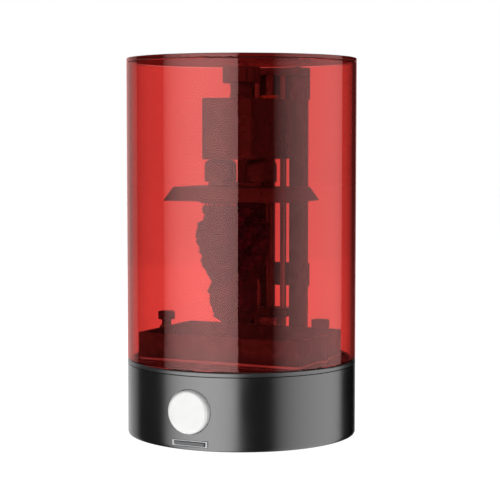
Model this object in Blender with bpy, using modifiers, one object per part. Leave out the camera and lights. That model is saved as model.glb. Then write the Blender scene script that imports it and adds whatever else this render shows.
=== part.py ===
"""Desktop resin printer: round base, lifting build platform, resin vat and a clear cover.

Metres, +Z up. The origin is on the printer's upright axis, on the surface that it stands on. The
knob faces -Y and the lift tower stands at +Y.
"""

import math

import bmesh
import bpy
from mathutils import Matrix, Vector

# Build platform and lift: the sizes that drive the rest.
PLATE_LENGTH = 0.101
PLATE_WIDTH = 0.058
PLATE_THICKNESS = 0.0102
PLATE_SIDE_SLOPE = 0.0052
PLATE_EDGE = 0.0006
LIFT_TRAVEL = 0.1147

# Clearances.
FIT_GAP = 0.0003
RUNNING_GAP = 0.0002
MERGE = 0.0001

# Edges that several pieces share.
SMALL_BEVEL = 0.0005
BLOCK_CORNER = 0.002

# Base casing.
FOOT_RADIUS = 0.007
FOOT_HEIGHT = 0.0009
FOOT_INSET = 0.014
FLOOR_GAP = 0.0004
BASE_HEIGHT = 0.053
BASE_WALL = 0.0025
BASE_EDGE = 0.0012
LEDGE_WIDTH = 0.0065
LEDGE_THICKNESS = 0.0025
BOTTOM_THICKNESS = 0.0014
TRIM_HEIGHT = 0.0032
TRIM_WIDTH = 0.0048
TRIM_CHAMFER = 0.0009
DECK_THICKNESS = 0.0022

# Control knob and its encoder.
KNOB_RADIUS = 0.0155
KNOB_DEPTH = 0.011
KNOB_PROUD = 0.0042
KNOB_ROOM_BELOW = 0.38
KNOB_EDGE = 0.0022
KNOB_WALL = 0.002
KNOB_HOLE_GAP = 0.0005
KNOB_PRESS = 0.0008
ENCODER_WIDTH = 0.013
ENCODER_DEPTH = 0.0065
ENCODER_SHAFT_RADIUS = 0.003
ENCODER_BUSH_RADIUS = 0.0045
ENCODER_BUSH_LENGTH = 0.003
PLUNGER_RADIUS = 0.0024
PLUNGER_LENGTH = 0.0014
BOARD_THICKNESS = 0.0016

# Memory card and its slot.
CARD_WIDTH = 0.024
CARD_LENGTH = 0.032
CARD_THICKNESS = 0.0021
CARD_PROUD = 0.0006
BEZEL_SIDE = 0.0017
BEZEL_EDGE = 0.00085
BEZEL_DEPTH = 0.0056
SOCKET_WALL = 0.0021
SOCKET_END = 0.0025

# Resin vat.
SCREEN_BORDER_X = 0.0045
SCREEN_BORDER_Y = 0.003
GLASS_LAP = 0.001
GLASS_THICKNESS = 0.002
RING_CLEARANCE = 0.0012
RING_LEDGE = 0.005
RING_THICKNESS = 0.002
FILM_THICKNESS = 0.00025
VAT_WALL = 0.0032
VAT_HEIGHT = 0.0172
VAT_CORNER = 0.004
VAT_SHIFT = -0.001
VAT_TO_COVER = 0.0036
LUG_WALL = 0.0034

# Thumb screws that hold the vat.
THUMB_HEAD_RADIUS = 0.0065
THUMB_HEAD_HEIGHT = 0.006
THUMB_NECK_RADIUS = 0.0039
THUMB_NECK_HEIGHT = 0.0043
THUMB_SHANK_RADIUS = 0.002
THUMB_SHANK_LENGTH = 0.025
WASHER_RADIUS = 0.0049
WASHER_THICKNESS = 0.0008

# Platform, arm and clamp.
HUB_SIZE = (0.044, 0.022, 0.0033)
POST_RADIUS = 0.012
POST_HEIGHT = 0.0163
POST_SPREAD = 0.0165
POST_SHIFT = -0.002
POST_DOME = 0.0045
PIN_RADIUS = 0.0045
PIN_HEIGHT = 0.010
PIN_TO_SIDE = 0.003
ARM_WIDTH = 0.040
ARM_HEIGHT = 0.045
ARM_REACH = 0.0256
SLEEVE_RADIUS = 0.0088
SLEEVE_HEIGHT = 0.0106
CLAMP_KNOB_RADIUS = 0.0141
CLAMP_KNOB_HEIGHT = 0.0131
CLAMP_KNOB_DOME = 0.0018
CLAMP_ROD_RADIUS = 0.004
CLAMP_ROD_RISE = 0.009
PAD_HEIGHT = 0.004
PAD_FLOOR = 0.003

# Carriage, lead screw and tower.
CARRIAGE_WIDTH = 0.044
CARRIAGE_DEPTH = 0.0117
SLIDER_GAP = 0.0004
SLIDER_BEHIND = 0.0068
SCREW_RADIUS = 0.004
JOURNAL_RADIUS = 0.0025
NUT_WALL = 0.001
NUT_LIP = 0.0024
NUT_FLANGE_HEIGHT = 0.003
ROD_RADIUS = 0.0025
ROD_TO_NUT = 0.0009
ROD_TO_POST = 0.003
BUSH_WALL = 0.0011
COUPLING_RADIUS = 0.008
COUPLING_HEIGHT = 0.022
COUPLING_TO_VAT = 0.0025
SUPPORT_HEIGHT = 0.0062
SUPPORT_GAP = 0.0011
POST_BAR_WIDTH = 0.0115
POST_BAR_DEPTH = 0.012
POST_BAR_FORWARD = 0.0015
TOP_PLATE_THICKNESS = 0.0055
TOP_PLATE_FORWARD = 0.0075
BACK_THICKNESS = 0.0027
BACK_EDGE = -0.0022
BRIDGE_HEIGHT = 0.018
BRIDGE_ABOVE_SUPPORT = 0.0166
BEARING_RADIUS = 0.0063
MOTOR_WIDTH = 0.035
MOTOR_HEIGHT = 0.031
MOTOR_CORNER = 0.0035

# Light source, fan and electronics.
SHROUD_WALL = 0.0015
SHROUD_LEDGE = 0.0037
LENS_RADIUS = 0.021
LENS_CLEARANCE = 0.003
LENS_HEIGHT = 0.0085
LED_BOARD_WIDTH = 0.040
SINK_WIDTH = 0.044
SINK_HEIGHT = 0.008
SINK_SLOTS = 5
FAN_WIDTH = 0.040
FAN_HEIGHT = 0.010
FAN_CORNER = 0.003
FAN_RIM = 0.0014
FAN_STRUT = 0.0015
FAN_HUB_RADIUS = 0.008
FAN_BLADES = 7
BLADE_THICKNESS = 0.001
MAIN_BOARD_WIDTH = 0.072
BOARD_TO_SHELL = 0.0029

# Cover.
COVER_WALL = 0.003
COVER_TOP_THICKNESS = 0.003
COVER_HEADROOM = 0.0019

# Power inlet and air vents.
INLET_HEIGHT = 0.020
INLET_RADIUS = 0.0054
INLET_TO_MOTOR = 0.003
INLET_FLANGE = 0.0065
INLET_PROUD = 0.001
INLET_BORE_RADIUS = 0.0029
INLET_PIN_RADIUS = 0.001
INLET_PIN_BELOW = 0.002
INLET_FLOOR = 0.003
VENT_WIDTH = 0.003
VENT_HEIGHT = 0.022
VENT_COUNT = 5
VENT_STEP = math.radians(5)
VENT_AZIMUTH = math.radians(38)

# Printed piece: its outline is (share of its length down, share of its width).
PRINT_ROOM_BELOW = 0.0197
PRINT_CENTRE = (-0.006, -0.002)
PRINT_WIDE = 0.031
PRINT_DEEP = 0.026
PRINT_PROFILE = (
    (0.00, 0.88),
    (0.03, 0.88),
    (0.06, 0.72),
    (0.12, 0.96),
    (0.28, 1.00),
    (0.45, 0.88),
    (0.62, 0.66),
    (0.85, 0.62),
    (0.95, 0.50),
    (1.00, 0.28),
)

ROUND_STEPS = 64
SMALL_STEPS = 24

# Plan sizes that follow from the plate and from the pieces beside each other.
SCREEN_SIZE = (PLATE_LENGTH + 2 * SCREEN_BORDER_X, PLATE_WIDTH + 2 * SCREEN_BORDER_Y)
GLASS_SIZE = (SCREEN_SIZE[0] + 2 * GLASS_LAP, SCREEN_SIZE[1] + 2 * GLASS_LAP)
RING_INNER = (GLASS_SIZE[0] + 2 * RING_CLEARANCE, GLASS_SIZE[1] + 2 * RING_CLEARANCE)
VAT_INNER = (RING_INNER[0] + 2 * RING_LEDGE, RING_INNER[1] + 2 * RING_LEDGE)
VAT_OUTER = (VAT_INNER[0] + 2 * VAT_WALL, VAT_INNER[1] + 2 * VAT_WALL)
VAT_REACH = VAT_OUTER[1] / 2 + abs(VAT_SHIFT)
SHROUD_BACK = VAT_SHIFT + SCREEN_SIZE[1] / 2 + SHROUD_WALL
SCREW_Y = max(
    VAT_SHIFT + VAT_OUTER[1] / 2 + COUPLING_TO_VAT + COUPLING_RADIUS,
    SHROUD_BACK + FIT_GAP + MOTOR_WIDTH / 2,
)
MOTOR_ARC = (MOTOR_WIDTH / 2 - MOTOR_CORNER, SCREW_Y + MOTOR_WIDTH / 2 - MOTOR_CORNER)
MOTOR_REACH = math.hypot(*MOTOR_ARC) + MOTOR_CORNER
BASE_RADIUS = max(
    math.hypot(VAT_OUTER[0] / 2, VAT_REACH) + VAT_TO_COVER + COVER_WALL,
    MOTOR_REACH + FIT_GAP + LEDGE_WIDTH + BASE_WALL,
)
COVER_INNER_RADIUS = BASE_RADIUS - COVER_WALL
SHELL_INNER_RADIUS = BASE_RADIUS - BASE_WALL
INLET_LENGTH = BASE_RADIUS + FIT_GAP - SCREW_Y - MOTOR_WIDTH / 2 - INLET_TO_MOTOR
SLOT_WIDTH = CARD_WIDTH + 2 * (FIT_GAP + BEZEL_SIDE + RUNNING_GAP)
SLOT_HEIGHT = CARD_THICKNESS + 2 * (FIT_GAP + BEZEL_EDGE + RUNNING_GAP)
SOCKET_LENGTH = CARD_LENGTH - CARD_PROUD - BEZEL_DEPTH - 2 * FIT_GAP + SOCKET_END
LUG_RADIUS = THUMB_SHANK_RADIUS + LUG_WALL
PIN_SPREAD = ARM_WIDTH / 2 - PIN_RADIUS - PIN_TO_SIDE
PAD_RADIUS = CLAMP_ROD_RADIUS + RUNNING_GAP
NUT_RADIUS = SCREW_RADIUS + RUNNING_GAP + NUT_WALL
NUT_FLANGE_RADIUS = NUT_RADIUS + NUT_LIP
ROD_SPREAD = NUT_FLANGE_RADIUS + ROD_TO_NUT + ROD_RADIUS
TOWER_INNER = 2 * (ROD_SPREAD + ROD_RADIUS + ROD_TO_POST)
SLIDER_WIDTH = TOWER_INNER - 2 * SLIDER_GAP
LAMP_HALF = LENS_RADIUS + LENS_CLEARANCE
FAN_HOLE_RADIUS = FAN_WIDTH / 2 - FAN_RIM
BOARD_FRONT = -math.sqrt((SHELL_INNER_RADIUS - BOARD_TO_SHELL) ** 2 - (MAIN_BOARD_WIDTH / 2) ** 2)
THUMB_X = (VAT_INNER[0] + VAT_OUTER[0]) / 4
POST_FRONT_Y = SCREW_Y - POST_BAR_FORWARD
POST_BACK_Y = POST_FRONT_Y + POST_BAR_DEPTH
FAN_X = -(LAMP_HALF + SHROUD_WALL + FIT_GAP + SHROUD_LEDGE + FAN_WIDTH / 2)

# Heights, from the feet up.
SHELL_BOTTOM = FLOOR_GAP
COVER_PLATE_LOW = FOOT_HEIGHT + FIT_GAP
INSIDE_FLOOR = COVER_PLATE_LOW + BOTTOM_THICKNESS + FIT_GAP
CARD_HEIGHT = INSIDE_FLOOR + SLOT_HEIGHT / 2
KNOB_HOLE_RADIUS = KNOB_RADIUS + KNOB_HOLE_GAP
KNOB_SPARE = BASE_HEIGHT - LEDGE_THICKNESS - CARD_HEIGHT - SLOT_HEIGHT / 2 - 2 * KNOB_HOLE_RADIUS
KNOB_HEIGHT = CARD_HEIGHT + SLOT_HEIGHT / 2 + KNOB_ROOM_BELOW * KNOB_SPARE + KNOB_HOLE_RADIUS
DECK_BOTTOM = BASE_HEIGHT + FIT_GAP
DECK_TOP = DECK_BOTTOM + DECK_THICKNESS
TRIM_TOP = DECK_BOTTOM + TRIM_HEIGHT
RING_BOTTOM = DECK_TOP + FIT_GAP
FILM_BOTTOM = RING_BOTTOM + RING_THICKNESS + FIT_GAP
FILM_TOP = FILM_BOTTOM + FILM_THICKNESS
VAT_BOTTOM = FILM_TOP + FIT_GAP
VAT_TOP = VAT_BOTTOM + VAT_HEIGHT
PLATE_BOTTOM = FILM_TOP + FIT_GAP + LIFT_TRAVEL
PLATE_TOP = PLATE_BOTTOM + PLATE_THICKNESS
PRINT_LENGTH = LIFT_TRAVEL - PRINT_ROOM_BELOW
HUB_BOTTOM = PLATE_TOP + FIT_GAP
POST_BOTTOM = HUB_BOTTOM + HUB_SIZE[2] + FIT_GAP
POST_TOP = POST_BOTTOM + POST_HEIGHT
ARM_BOTTOM = POST_TOP + FIT_GAP
ARM_TOP = ARM_BOTTOM + ARM_HEIGHT
SLEEVE_BOTTOM = ARM_TOP + FIT_GAP
CLAMP_KNOB_BOTTOM = SLEEVE_BOTTOM + SLEEVE_HEIGHT + FIT_GAP
TOWER_TOP = CLAMP_KNOB_BOTTOM + CLAMP_KNOB_HEIGHT
TOP_PLATE_BOTTOM = TOWER_TOP - TOP_PLATE_THICKNESS
COVER_BOTTOM = TRIM_TOP + FIT_GAP
COVER_TOP_BOTTOM = TOWER_TOP + COVER_HEADROOM
CARRIAGE_LOWEST = ARM_BOTTOM - LIFT_TRAVEL
SUPPORT_BOTTOM = CARRIAGE_LOWEST - SUPPORT_GAP - SUPPORT_HEIGHT
COUPLING_TOP = SUPPORT_BOTTOM - SUPPORT_GAP
COUPLING_BOTTOM = COUPLING_TOP - COUPLING_HEIGHT
COUPLING_MIDDLE = (COUPLING_TOP + COUPLING_BOTTOM) / 2
THUMB_SHOULDER = VAT_TOP + 2 * FIT_GAP + WASHER_THICKNESS


def clear_scene():
    """Remove every object and the meshes and materials that they leave behind."""
    for piece in list(bpy.data.objects):
        bpy.data.objects.remove(piece, do_unlink=True)
    for store in (bpy.data.meshes, bpy.data.materials, bpy.data.collections):
        for block in list(store):
            store.remove(block)


def make_collection(name):
    """Return a new collection linked to the scene."""
    collection = bpy.data.collections.new(name)
    bpy.context.scene.collection.children.link(collection)
    return collection


clear_scene()
PARTS = make_collection("resin_printer")
CUTTERS = make_collection("cutters")


def make_material(name, colour, roughness, metallic=0.0, alpha=1.0):
    """Return a Principled material of one colour."""
    material = bpy.data.materials.new(name)
    material.use_nodes = True
    shader = material.node_tree.nodes["Principled BSDF"]
    shader.inputs["Base Color"].default_value = (*colour, 1.0)
    shader.inputs["Roughness"].default_value = roughness
    shader.inputs["Metallic"].default_value = metallic
    shader.inputs["Alpha"].default_value = alpha
    return material


def satin_black():
    """Dark satin lacquer of the casing."""
    return make_material("satin_black", (0.05, 0.052, 0.055), 0.42, 0.3)


def trim_grey():
    """Paler satin grey of the trim ring and slot bezel."""
    return make_material("trim_grey", (0.28, 0.285, 0.29), 0.35, 0.6)


def white_plastic():
    """White satin plastic of the control knob."""
    return make_material("white_plastic", (0.88, 0.88, 0.87), 0.35)


def black_plastic():
    """Black moulded plastic."""
    return make_material("black_plastic", (0.02, 0.02, 0.022), 0.55)


def rubber_black():
    """Soft black rubber of the feet."""
    return make_material("rubber_black", (0.015, 0.015, 0.015), 0.8)


def red_acrylic():
    """Clear red acrylic that keeps out blue light."""
    return make_material("red_acrylic", (0.75, 0.03, 0.02), 0.05, 0.0, 0.4)


def black_anodised():
    """Black anodised aluminium of the arm, tower and vat."""
    return make_material("black_anodised", (0.03, 0.031, 0.033), 0.38, 0.7)


def bare_steel():
    """Bright ground steel."""
    return make_material("bare_steel", (0.55, 0.56, 0.57), 0.25, 1.0)


def brass():
    """Yellow brass of the nut and bushes."""
    return make_material("brass", (0.72, 0.53, 0.24), 0.3, 1.0)


def bare_aluminium():
    """Milled bare aluminium."""
    return make_material("bare_aluminium", (0.65, 0.66, 0.67), 0.35, 1.0)


def board_green():
    """Solder mask of the circuit boards."""
    return make_material("board_green", (0.02, 0.12, 0.06), 0.45)


def clear_glass():
    """Clear glass of the screen and lens."""
    return make_material("clear_glass", (0.8, 0.85, 0.85), 0.05, 0.0, 0.4)


def screen_black():
    """Dark face of the mask screen."""
    return make_material("screen_black", (0.01, 0.01, 0.014), 0.15)


def clear_film():
    """Clear release film."""
    return make_material("clear_film", (0.85, 0.87, 0.88), 0.15, 0.0, 0.4)


def purple_resin():
    """Dark purple cured resin."""
    return make_material("purple_resin", (0.045, 0.015, 0.06), 0.3)


def world_place(piece):
    """Return an unturned object's world position by adding up its parents' places."""
    place = Vector()
    while piece:
        place += piece.location
        piece = piece.parent
    return place


def joint_frame(name, at, parent=None):
    """Return an empty on a joint's axis, which carries the pieces that move with it."""
    frame = bpy.data.objects.new(name, None)
    PARTS.objects.link(frame)
    frame.parent = parent
    frame.location = Vector(at) - world_place(parent)
    frame.empty_display_size = 0.01
    return frame


def add_piece(name, mesh, material, at=(0, 0, 0), parent=None, turn=(0, 0, 0)):
    """Put a mesh in the printer's collection at a world place, under its parent."""
    piece = bpy.data.objects.new(name, mesh)
    PARTS.objects.link(piece)
    mesh.materials.append(material)
    piece.parent = parent
    piece.location = Vector(at) - world_place(parent)
    piece.rotation_euler = turn
    return piece


def add_cutter(name, mesh, at=(0, 0, 0), turn=(0, 0, 0)):
    """Put a helper solid among the cutters, hidden from the render."""
    cutter = bpy.data.objects.new(name, mesh)
    CUTTERS.objects.link(cutter)
    cutter.location = at
    cutter.rotation_euler = turn
    cutter.hide_render = True
    cutter.display_type = "WIRE"
    return cutter


def combine(piece, cutter, operation="DIFFERENCE"):
    """Cut or join a helper solid with a Boolean modifier."""
    modifier = piece.modifiers.new(cutter.name, "BOOLEAN")
    modifier.operation = operation
    modifier.object = cutter
    modifier.solver = "EXACT"


def block_mesh(name, size, corner=0.0):
    """Return a box centred on its origin, its upright edges rounded by corner."""
    shape = bmesh.new()
    bmesh.ops.create_cube(shape, size=1.0, matrix=Matrix.Diagonal((*size, 1.0)))
    if corner:
        upright = [
            edge
            for edge in shape.edges
            if abs(edge.verts[0].co.z - edge.verts[1].co.z) > size[2] / 2
        ]
        bmesh.ops.bevel(
            shape, geom=upright, offset=corner, segments=3, profile=0.5, affect="EDGES"
        )
    return mesh_from(shape, name)


def cylinder_mesh(name, radius, height, steps=SMALL_STEPS):
    """Return an upright cylinder centred on its origin."""
    shape = bmesh.new()
    bmesh.ops.create_cone(
        shape, cap_ends=True, segments=steps, radius1=radius, radius2=radius, depth=height
    )
    return mesh_from(shape, name)


def mesh_from(shape, name):
    """Turn a bmesh into a smooth-shaded mesh whose sharp edges stay sharp."""
    mesh = bpy.data.meshes.new(name)
    shape.to_mesh(mesh)
    shape.free()
    mesh.shade_smooth()
    mesh.set_sharp_from_angle(angle=math.radians(35))
    return mesh


def profile_mesh(name, outline, closed):
    """Return a wire profile of (radius, height) points, listed down its outer side."""
    shape = bmesh.new()
    points = [shape.verts.new((radius, 0, height)) for radius, height in outline]
    for first, second in zip(points, points[1:]):
        shape.edges.new((first, second))
    if closed:
        shape.edges.new((points[-1], points[0]))
    return mesh_from(shape, name)


def turn_profile(piece, steps):
    """Spin an object's profile into a solid about its own Z axis."""
    screw = piece.modifiers.new("turn", "SCREW")
    screw.steps = steps
    screw.render_steps = steps
    screw.use_merge_vertices = True
    screw.merge_threshold = MERGE


def add_turned(name, outline, material, at, closed=False, steps=SMALL_STEPS, **place):
    """Add a turned piece. An open outline starts and ends on the axis."""
    piece = add_piece(name, profile_mesh(name, outline, closed), material, at, **place)
    turn_profile(piece, steps)
    return piece


def ring_outline(inner, outer, low, high):
    """Return the closed outline of a plain ring."""
    return [(outer, high), (outer, low), (inner, low), (inner, high)]


def add_block(name, low, high, material, parent=None, corner=0.0):
    """Add a box by its lowest and highest corners."""
    size = [top - bottom for bottom, top in zip(low, high)]
    middle = [(top + bottom) / 2 for bottom, top in zip(low, high)]
    return add_piece(name, block_mesh(name, size, corner), material, middle, parent)


def cut_block(piece, name, low, high, operation="DIFFERENCE"):
    """Cut or join a box, given by its corners, with a piece."""
    size = [top - bottom for bottom, top in zip(low, high)]
    middle = [(top + bottom) / 2 for bottom, top in zip(low, high)]
    combine(piece, add_cutter(name, block_mesh(name, size), middle), operation)


def cut_hole(piece, name, at, radius, depth, turn=(0, 0, 0), steps=SMALL_STEPS):
    """Cut a round hole, centred at a world place, from a piece."""
    combine(piece, add_cutter(name, cylinder_mesh(name, radius, depth, steps), at, turn))


def slotted_cutter(name, size, pitch, count, at):
    """Return a row of equal boxes along X in one cutter."""
    shape = bmesh.new()
    for index in range(count):
        shift = (index - (count - 1) / 2) * pitch
        place = Matrix.Translation((shift, 0, 0)) @ Matrix.Diagonal((*size, 1.0))
        bmesh.ops.create_cube(shape, size=1.0, matrix=place)
    return add_cutter(name, mesh_from(shape, name), at)


LYING = (math.pi / 2, 0, 0)


def build_casing():
    """Build the base shell, trim ring, deck, bottom cover and feet."""
    dark = satin_black()
    shell = add_turned(
        "base_shell",
        [
            (BASE_RADIUS, BASE_HEIGHT),
            (BASE_RADIUS, SHELL_BOTTOM + BASE_EDGE),
            (BASE_RADIUS - BASE_EDGE, SHELL_BOTTOM),
            (SHELL_INNER_RADIUS, SHELL_BOTTOM),
            (SHELL_INNER_RADIUS, BASE_HEIGHT - LEDGE_THICKNESS),
            (SHELL_INNER_RADIUS - LEDGE_WIDTH, BASE_HEIGHT - LEDGE_THICKNESS),
            (SHELL_INNER_RADIUS - LEDGE_WIDTH, BASE_HEIGHT),
        ],
        dark,
        (0, 0, 0),
        closed=True,
        steps=ROUND_STEPS,
    )
    cut_hole(
        shell,
        "knob_hole",
        (0, -BASE_RADIUS, KNOB_HEIGHT),
        KNOB_HOLE_RADIUS,
        4 * BASE_WALL,
        LYING,
        32,
    )
    cut_block(
        shell,
        "card_hole",
        (-SLOT_WIDTH / 2, -BASE_RADIUS - BASE_WALL, CARD_HEIGHT - SLOT_HEIGHT / 2),
        (SLOT_WIDTH / 2, -BASE_RADIUS + 2 * BASE_WALL, CARD_HEIGHT + SLOT_HEIGHT / 2),
    )
    cut_hole(
        shell, "inlet_hole", (0, BASE_RADIUS, INLET_HEIGHT), INLET_RADIUS + FIT_GAP, 4 * BASE_WALL, LYING
    )
    cut_rear_vents(shell)
    add_turned(
        "trim_ring",
        [
            (BASE_RADIUS - TRIM_CHAMFER, TRIM_TOP),
            (BASE_RADIUS, TRIM_TOP - TRIM_CHAMFER),
            (BASE_RADIUS, DECK_BOTTOM),
            (BASE_RADIUS - TRIM_WIDTH, DECK_BOTTOM),
            (BASE_RADIUS - TRIM_WIDTH, TRIM_TOP),
        ],
        trim_grey(),
        (0, 0, 0),
        closed=True,
        steps=ROUND_STEPS,
    )
    build_deck()
    build_bottom(dark)


def cut_rear_vents(shell):
    """Cut two groups of upright slots through the rear of the shell."""
    shape = bmesh.new()
    size = Matrix.Diagonal((VENT_WIDTH, 4 * BASE_WALL, VENT_HEIGHT, 1.0))
    for side in (-1, 1):
        for index in range(VENT_COUNT):
            around = side * (VENT_AZIMUTH + index * VENT_STEP)
            place = Matrix.Rotation(around, 4, "Z") @ Matrix.Translation((0, BASE_RADIUS, BASE_HEIGHT / 2))
            bmesh.ops.create_cube(shape, size=1.0, matrix=place @ size)
    combine(shell, add_cutter("rear_vents", mesh_from(shape, "rear_vents")))


def build_deck():
    """Build the deck disc with its screen window, screw holes and shaft hole."""
    radius = BASE_RADIUS - TRIM_WIDTH - FIT_GAP
    middle = (DECK_BOTTOM + DECK_TOP) / 2
    deck = add_piece(
        "deck_plate",
        cylinder_mesh("deck_plate", radius, DECK_THICKNESS, ROUND_STEPS),
        black_anodised(),
        (0, 0, middle),
    )
    window = [side / 2 + FIT_GAP for side in SCREEN_SIZE]
    cut_block(
        deck,
        "screen_window",
        (-window[0], VAT_SHIFT - window[1], DECK_BOTTOM - DECK_THICKNESS),
        (window[0], VAT_SHIFT + window[1], DECK_TOP + DECK_THICKNESS),
    )
    for side in (-1, 1):
        at = (side * THUMB_X, VAT_SHIFT, middle)
        cut_hole(deck, f"thumb_thread_{side}", at, THUMB_SHANK_RADIUS + RUNNING_GAP, 3 * DECK_THICKNESS)
    cut_hole(deck, "shaft_hole", (0, SCREW_Y, middle), 2 * JOURNAL_RADIUS, 3 * DECK_THICKNESS)


def build_bottom(dark):
    """Build the bottom cover, with air slots under the fan, and the feet."""
    bottom = add_piece(
        "bottom_cover",
        cylinder_mesh(
            "bottom_cover", SHELL_INNER_RADIUS - FIT_GAP, BOTTOM_THICKNESS, ROUND_STEPS
        ),
        dark,
        (0, 0, COVER_PLATE_LOW + BOTTOM_THICKNESS / 2),
    )
    slots = slotted_cutter(
        "air_slots",
        (VENT_WIDTH, FAN_WIDTH * 0.6, 4 * BOTTOM_THICKNESS),
        2 * VENT_WIDTH,
        VENT_COUNT,
        (FAN_X, 0, COVER_PLATE_LOW),
    )
    combine(bottom, slots)
    reach = (SHELL_INNER_RADIUS - FOOT_INSET) / math.sqrt(2)
    rubber = rubber_black()
    for depth, end in ((-1, "front"), (1, "rear")):
        for side, hand in ((-1, "left"), (1, "right")):
            name = f"foot_{end}_{hand}"
            at = (side * reach, depth * reach, FOOT_HEIGHT / 2)
            add_piece(name, cylinder_mesh(name, FOOT_RADIUS, FOOT_HEIGHT), rubber, at)


def build_encoder():
    """Build the control knob and the push-and-turn encoder behind it."""
    front = -(BASE_RADIUS + KNOB_PROUD)
    back = front + KNOB_DEPTH
    body_front = back + KNOB_PRESS + 2 * FIT_GAP + ENCODER_BUSH_LENGTH
    body_back = body_front + ENCODER_DEPTH
    plastic = black_plastic()
    half = ENCODER_WIDTH / 2
    body = add_block(
        "encoder_body",
        (-half, body_front, KNOB_HEIGHT - half),
        (half, body_back, KNOB_HEIGHT + half),
        plastic,
    )
    bush_middle = body_front - ENCODER_BUSH_LENGTH / 2 + FIT_GAP
    bush = cylinder_mesh("encoder_bush", ENCODER_BUSH_RADIUS, ENCODER_BUSH_LENGTH)
    combine(body, add_cutter("encoder_bush", bush, (0, bush_middle, KNOB_HEIGHT), LYING), "UNION")
    bore = ENCODER_SHAFT_RADIUS + RUNNING_GAP
    cut_hole(body, "encoder_bore", (0, body_front, KNOB_HEIGHT), bore, 4 * ENCODER_DEPTH, LYING)
    press = joint_frame("knob_press_axis", (0, front, KNOB_HEIGHT))
    turn = joint_frame("knob_turn_axis", (0, front, KNOB_HEIGHT), press)
    plunger_at = (0, body_back + FIT_GAP + PLUNGER_LENGTH / 2, KNOB_HEIGHT)
    add_piece(
        "encoder_plunger",
        cylinder_mesh("encoder_plunger", PLUNGER_RADIUS, PLUNGER_LENGTH),
        plastic,
        plunger_at,
        press,
        LYING,
    )
    shaft_front = front + KNOB_WALL + 2 * FIT_GAP
    shaft_length = body_back - shaft_front
    add_piece(
        "encoder_shaft",
        cylinder_mesh("encoder_shaft", ENCODER_SHAFT_RADIUS, shaft_length),
        bare_aluminium(),
        (0, shaft_front + shaft_length / 2, KNOB_HEIGHT),
        turn,
        LYING,
    )
    add_turned(
        "control_knob",
        knob_outline(),
        white_plastic(),
        (0, back, KNOB_HEIGHT),
        parent=turn,
        turn=LYING,
        steps=40,
    )


def knob_outline():
    """Return the knob's section: a rounded cap with a skirt and a hub with a blind bore."""
    bore = ENCODER_SHAFT_RADIUS + RUNNING_GAP
    hub = bore + KNOB_WALL
    inner_top = KNOB_DEPTH - KNOB_WALL
    rounding = [
        (
            KNOB_RADIUS - KNOB_EDGE + KNOB_EDGE * math.sin(step * math.pi / 8),
            KNOB_DEPTH - KNOB_EDGE + KNOB_EDGE * math.cos(step * math.pi / 8),
        )
        for step in range(5)
    ]
    return [
        (0, KNOB_DEPTH),
        *rounding,
        (KNOB_RADIUS, 0),
        (KNOB_RADIUS - KNOB_WALL, 0),
        (KNOB_RADIUS - KNOB_WALL, inner_top - KNOB_WALL / 2),
        (hub, inner_top - KNOB_WALL / 2),
        (hub, 0),
        (bore, 0),
        (bore, inner_top),
        (0, inner_top),
    ]


def build_card_reader():
    """Build the slot bezel, the card socket and the memory card in it."""
    bezel_front = -BASE_RADIUS + FIT_GAP
    bezel_back = bezel_front + BEZEL_DEPTH
    half = SLOT_WIDTH / 2 - RUNNING_GAP
    rise = SLOT_HEIGHT / 2 - RUNNING_GAP
    opening = (CARD_WIDTH / 2 + FIT_GAP, CARD_THICKNESS / 2 + FIT_GAP)
    bezel = add_block(
        "card_bezel",
        (-half, bezel_front, CARD_HEIGHT - rise),
        (half, bezel_back, CARD_HEIGHT + rise),
        trim_grey(),
    )
    cut_block(
        bezel,
        "bezel_opening",
        (-opening[0], bezel_front - BEZEL_DEPTH, CARD_HEIGHT - opening[1]),
        (opening[0], bezel_back + BEZEL_DEPTH, CARD_HEIGHT + opening[1]),
    )
    socket_front = bezel_back + FIT_GAP
    card_front = -BASE_RADIUS - CARD_PROUD
    card_back = card_front + CARD_LENGTH
    socket = add_block(
        "card_socket",
        (-opening[0] - SOCKET_WALL, socket_front, INSIDE_FLOOR + FIT_GAP),
        (opening[0] + SOCKET_WALL, socket_front + SOCKET_LENGTH, socket_top()),
        bare_aluminium(),
    )
    cut_block(
        socket,
        "socket_opening",
        (-opening[0], socket_front - SOCKET_LENGTH, CARD_HEIGHT - opening[1]),
        (opening[0], card_back + FIT_GAP, CARD_HEIGHT + opening[1]),
    )
    axis = joint_frame("card_slide_axis", (0, card_front, CARD_HEIGHT))
    add_block(
        "memory_card",
        (-CARD_WIDTH / 2, card_front, CARD_HEIGHT - CARD_THICKNESS / 2),
        (CARD_WIDTH / 2, card_back, CARD_HEIGHT + CARD_THICKNESS / 2),
        black_plastic(),
        axis,
    )


def socket_top():
    """Return the height of the card socket's top face."""
    return CARD_HEIGHT + CARD_THICKNESS / 2 + SOCKET_WALL / 2


def build_electronics():
    """Build the main board and the power inlet."""
    board_bottom = socket_top() + FIT_GAP
    board_top = board_bottom + BOARD_THICKNESS
    half = MAIN_BOARD_WIDTH / 2
    add_block(
        "main_board",
        (-half, BOARD_FRONT, board_bottom),
        (half, -SINK_WIDTH / 2 - SHROUD_LEDGE, board_top),
        board_green(),
    )
    rim = INLET_LENGTH + INLET_PROUD
    add_turned(
        "power_inlet",
        [
            (0, rim - INLET_PIN_BELOW),
            (INLET_PIN_RADIUS, rim - INLET_PIN_BELOW),
            (INLET_PIN_RADIUS, INLET_FLOOR),
            (INLET_BORE_RADIUS, INLET_FLOOR),
            (INLET_BORE_RADIUS, rim),
            (INLET_FLANGE, rim),
            (INLET_FLANGE, INLET_LENGTH),
            (INLET_RADIUS, INLET_LENGTH),
            (INLET_RADIUS, 0),
            (0, 0),
        ],
        black_plastic(),
        (0, BASE_RADIUS + FIT_GAP - INLET_LENGTH, INLET_HEIGHT),
        turn=(-math.pi / 2, 0, 0),
    )


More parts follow.
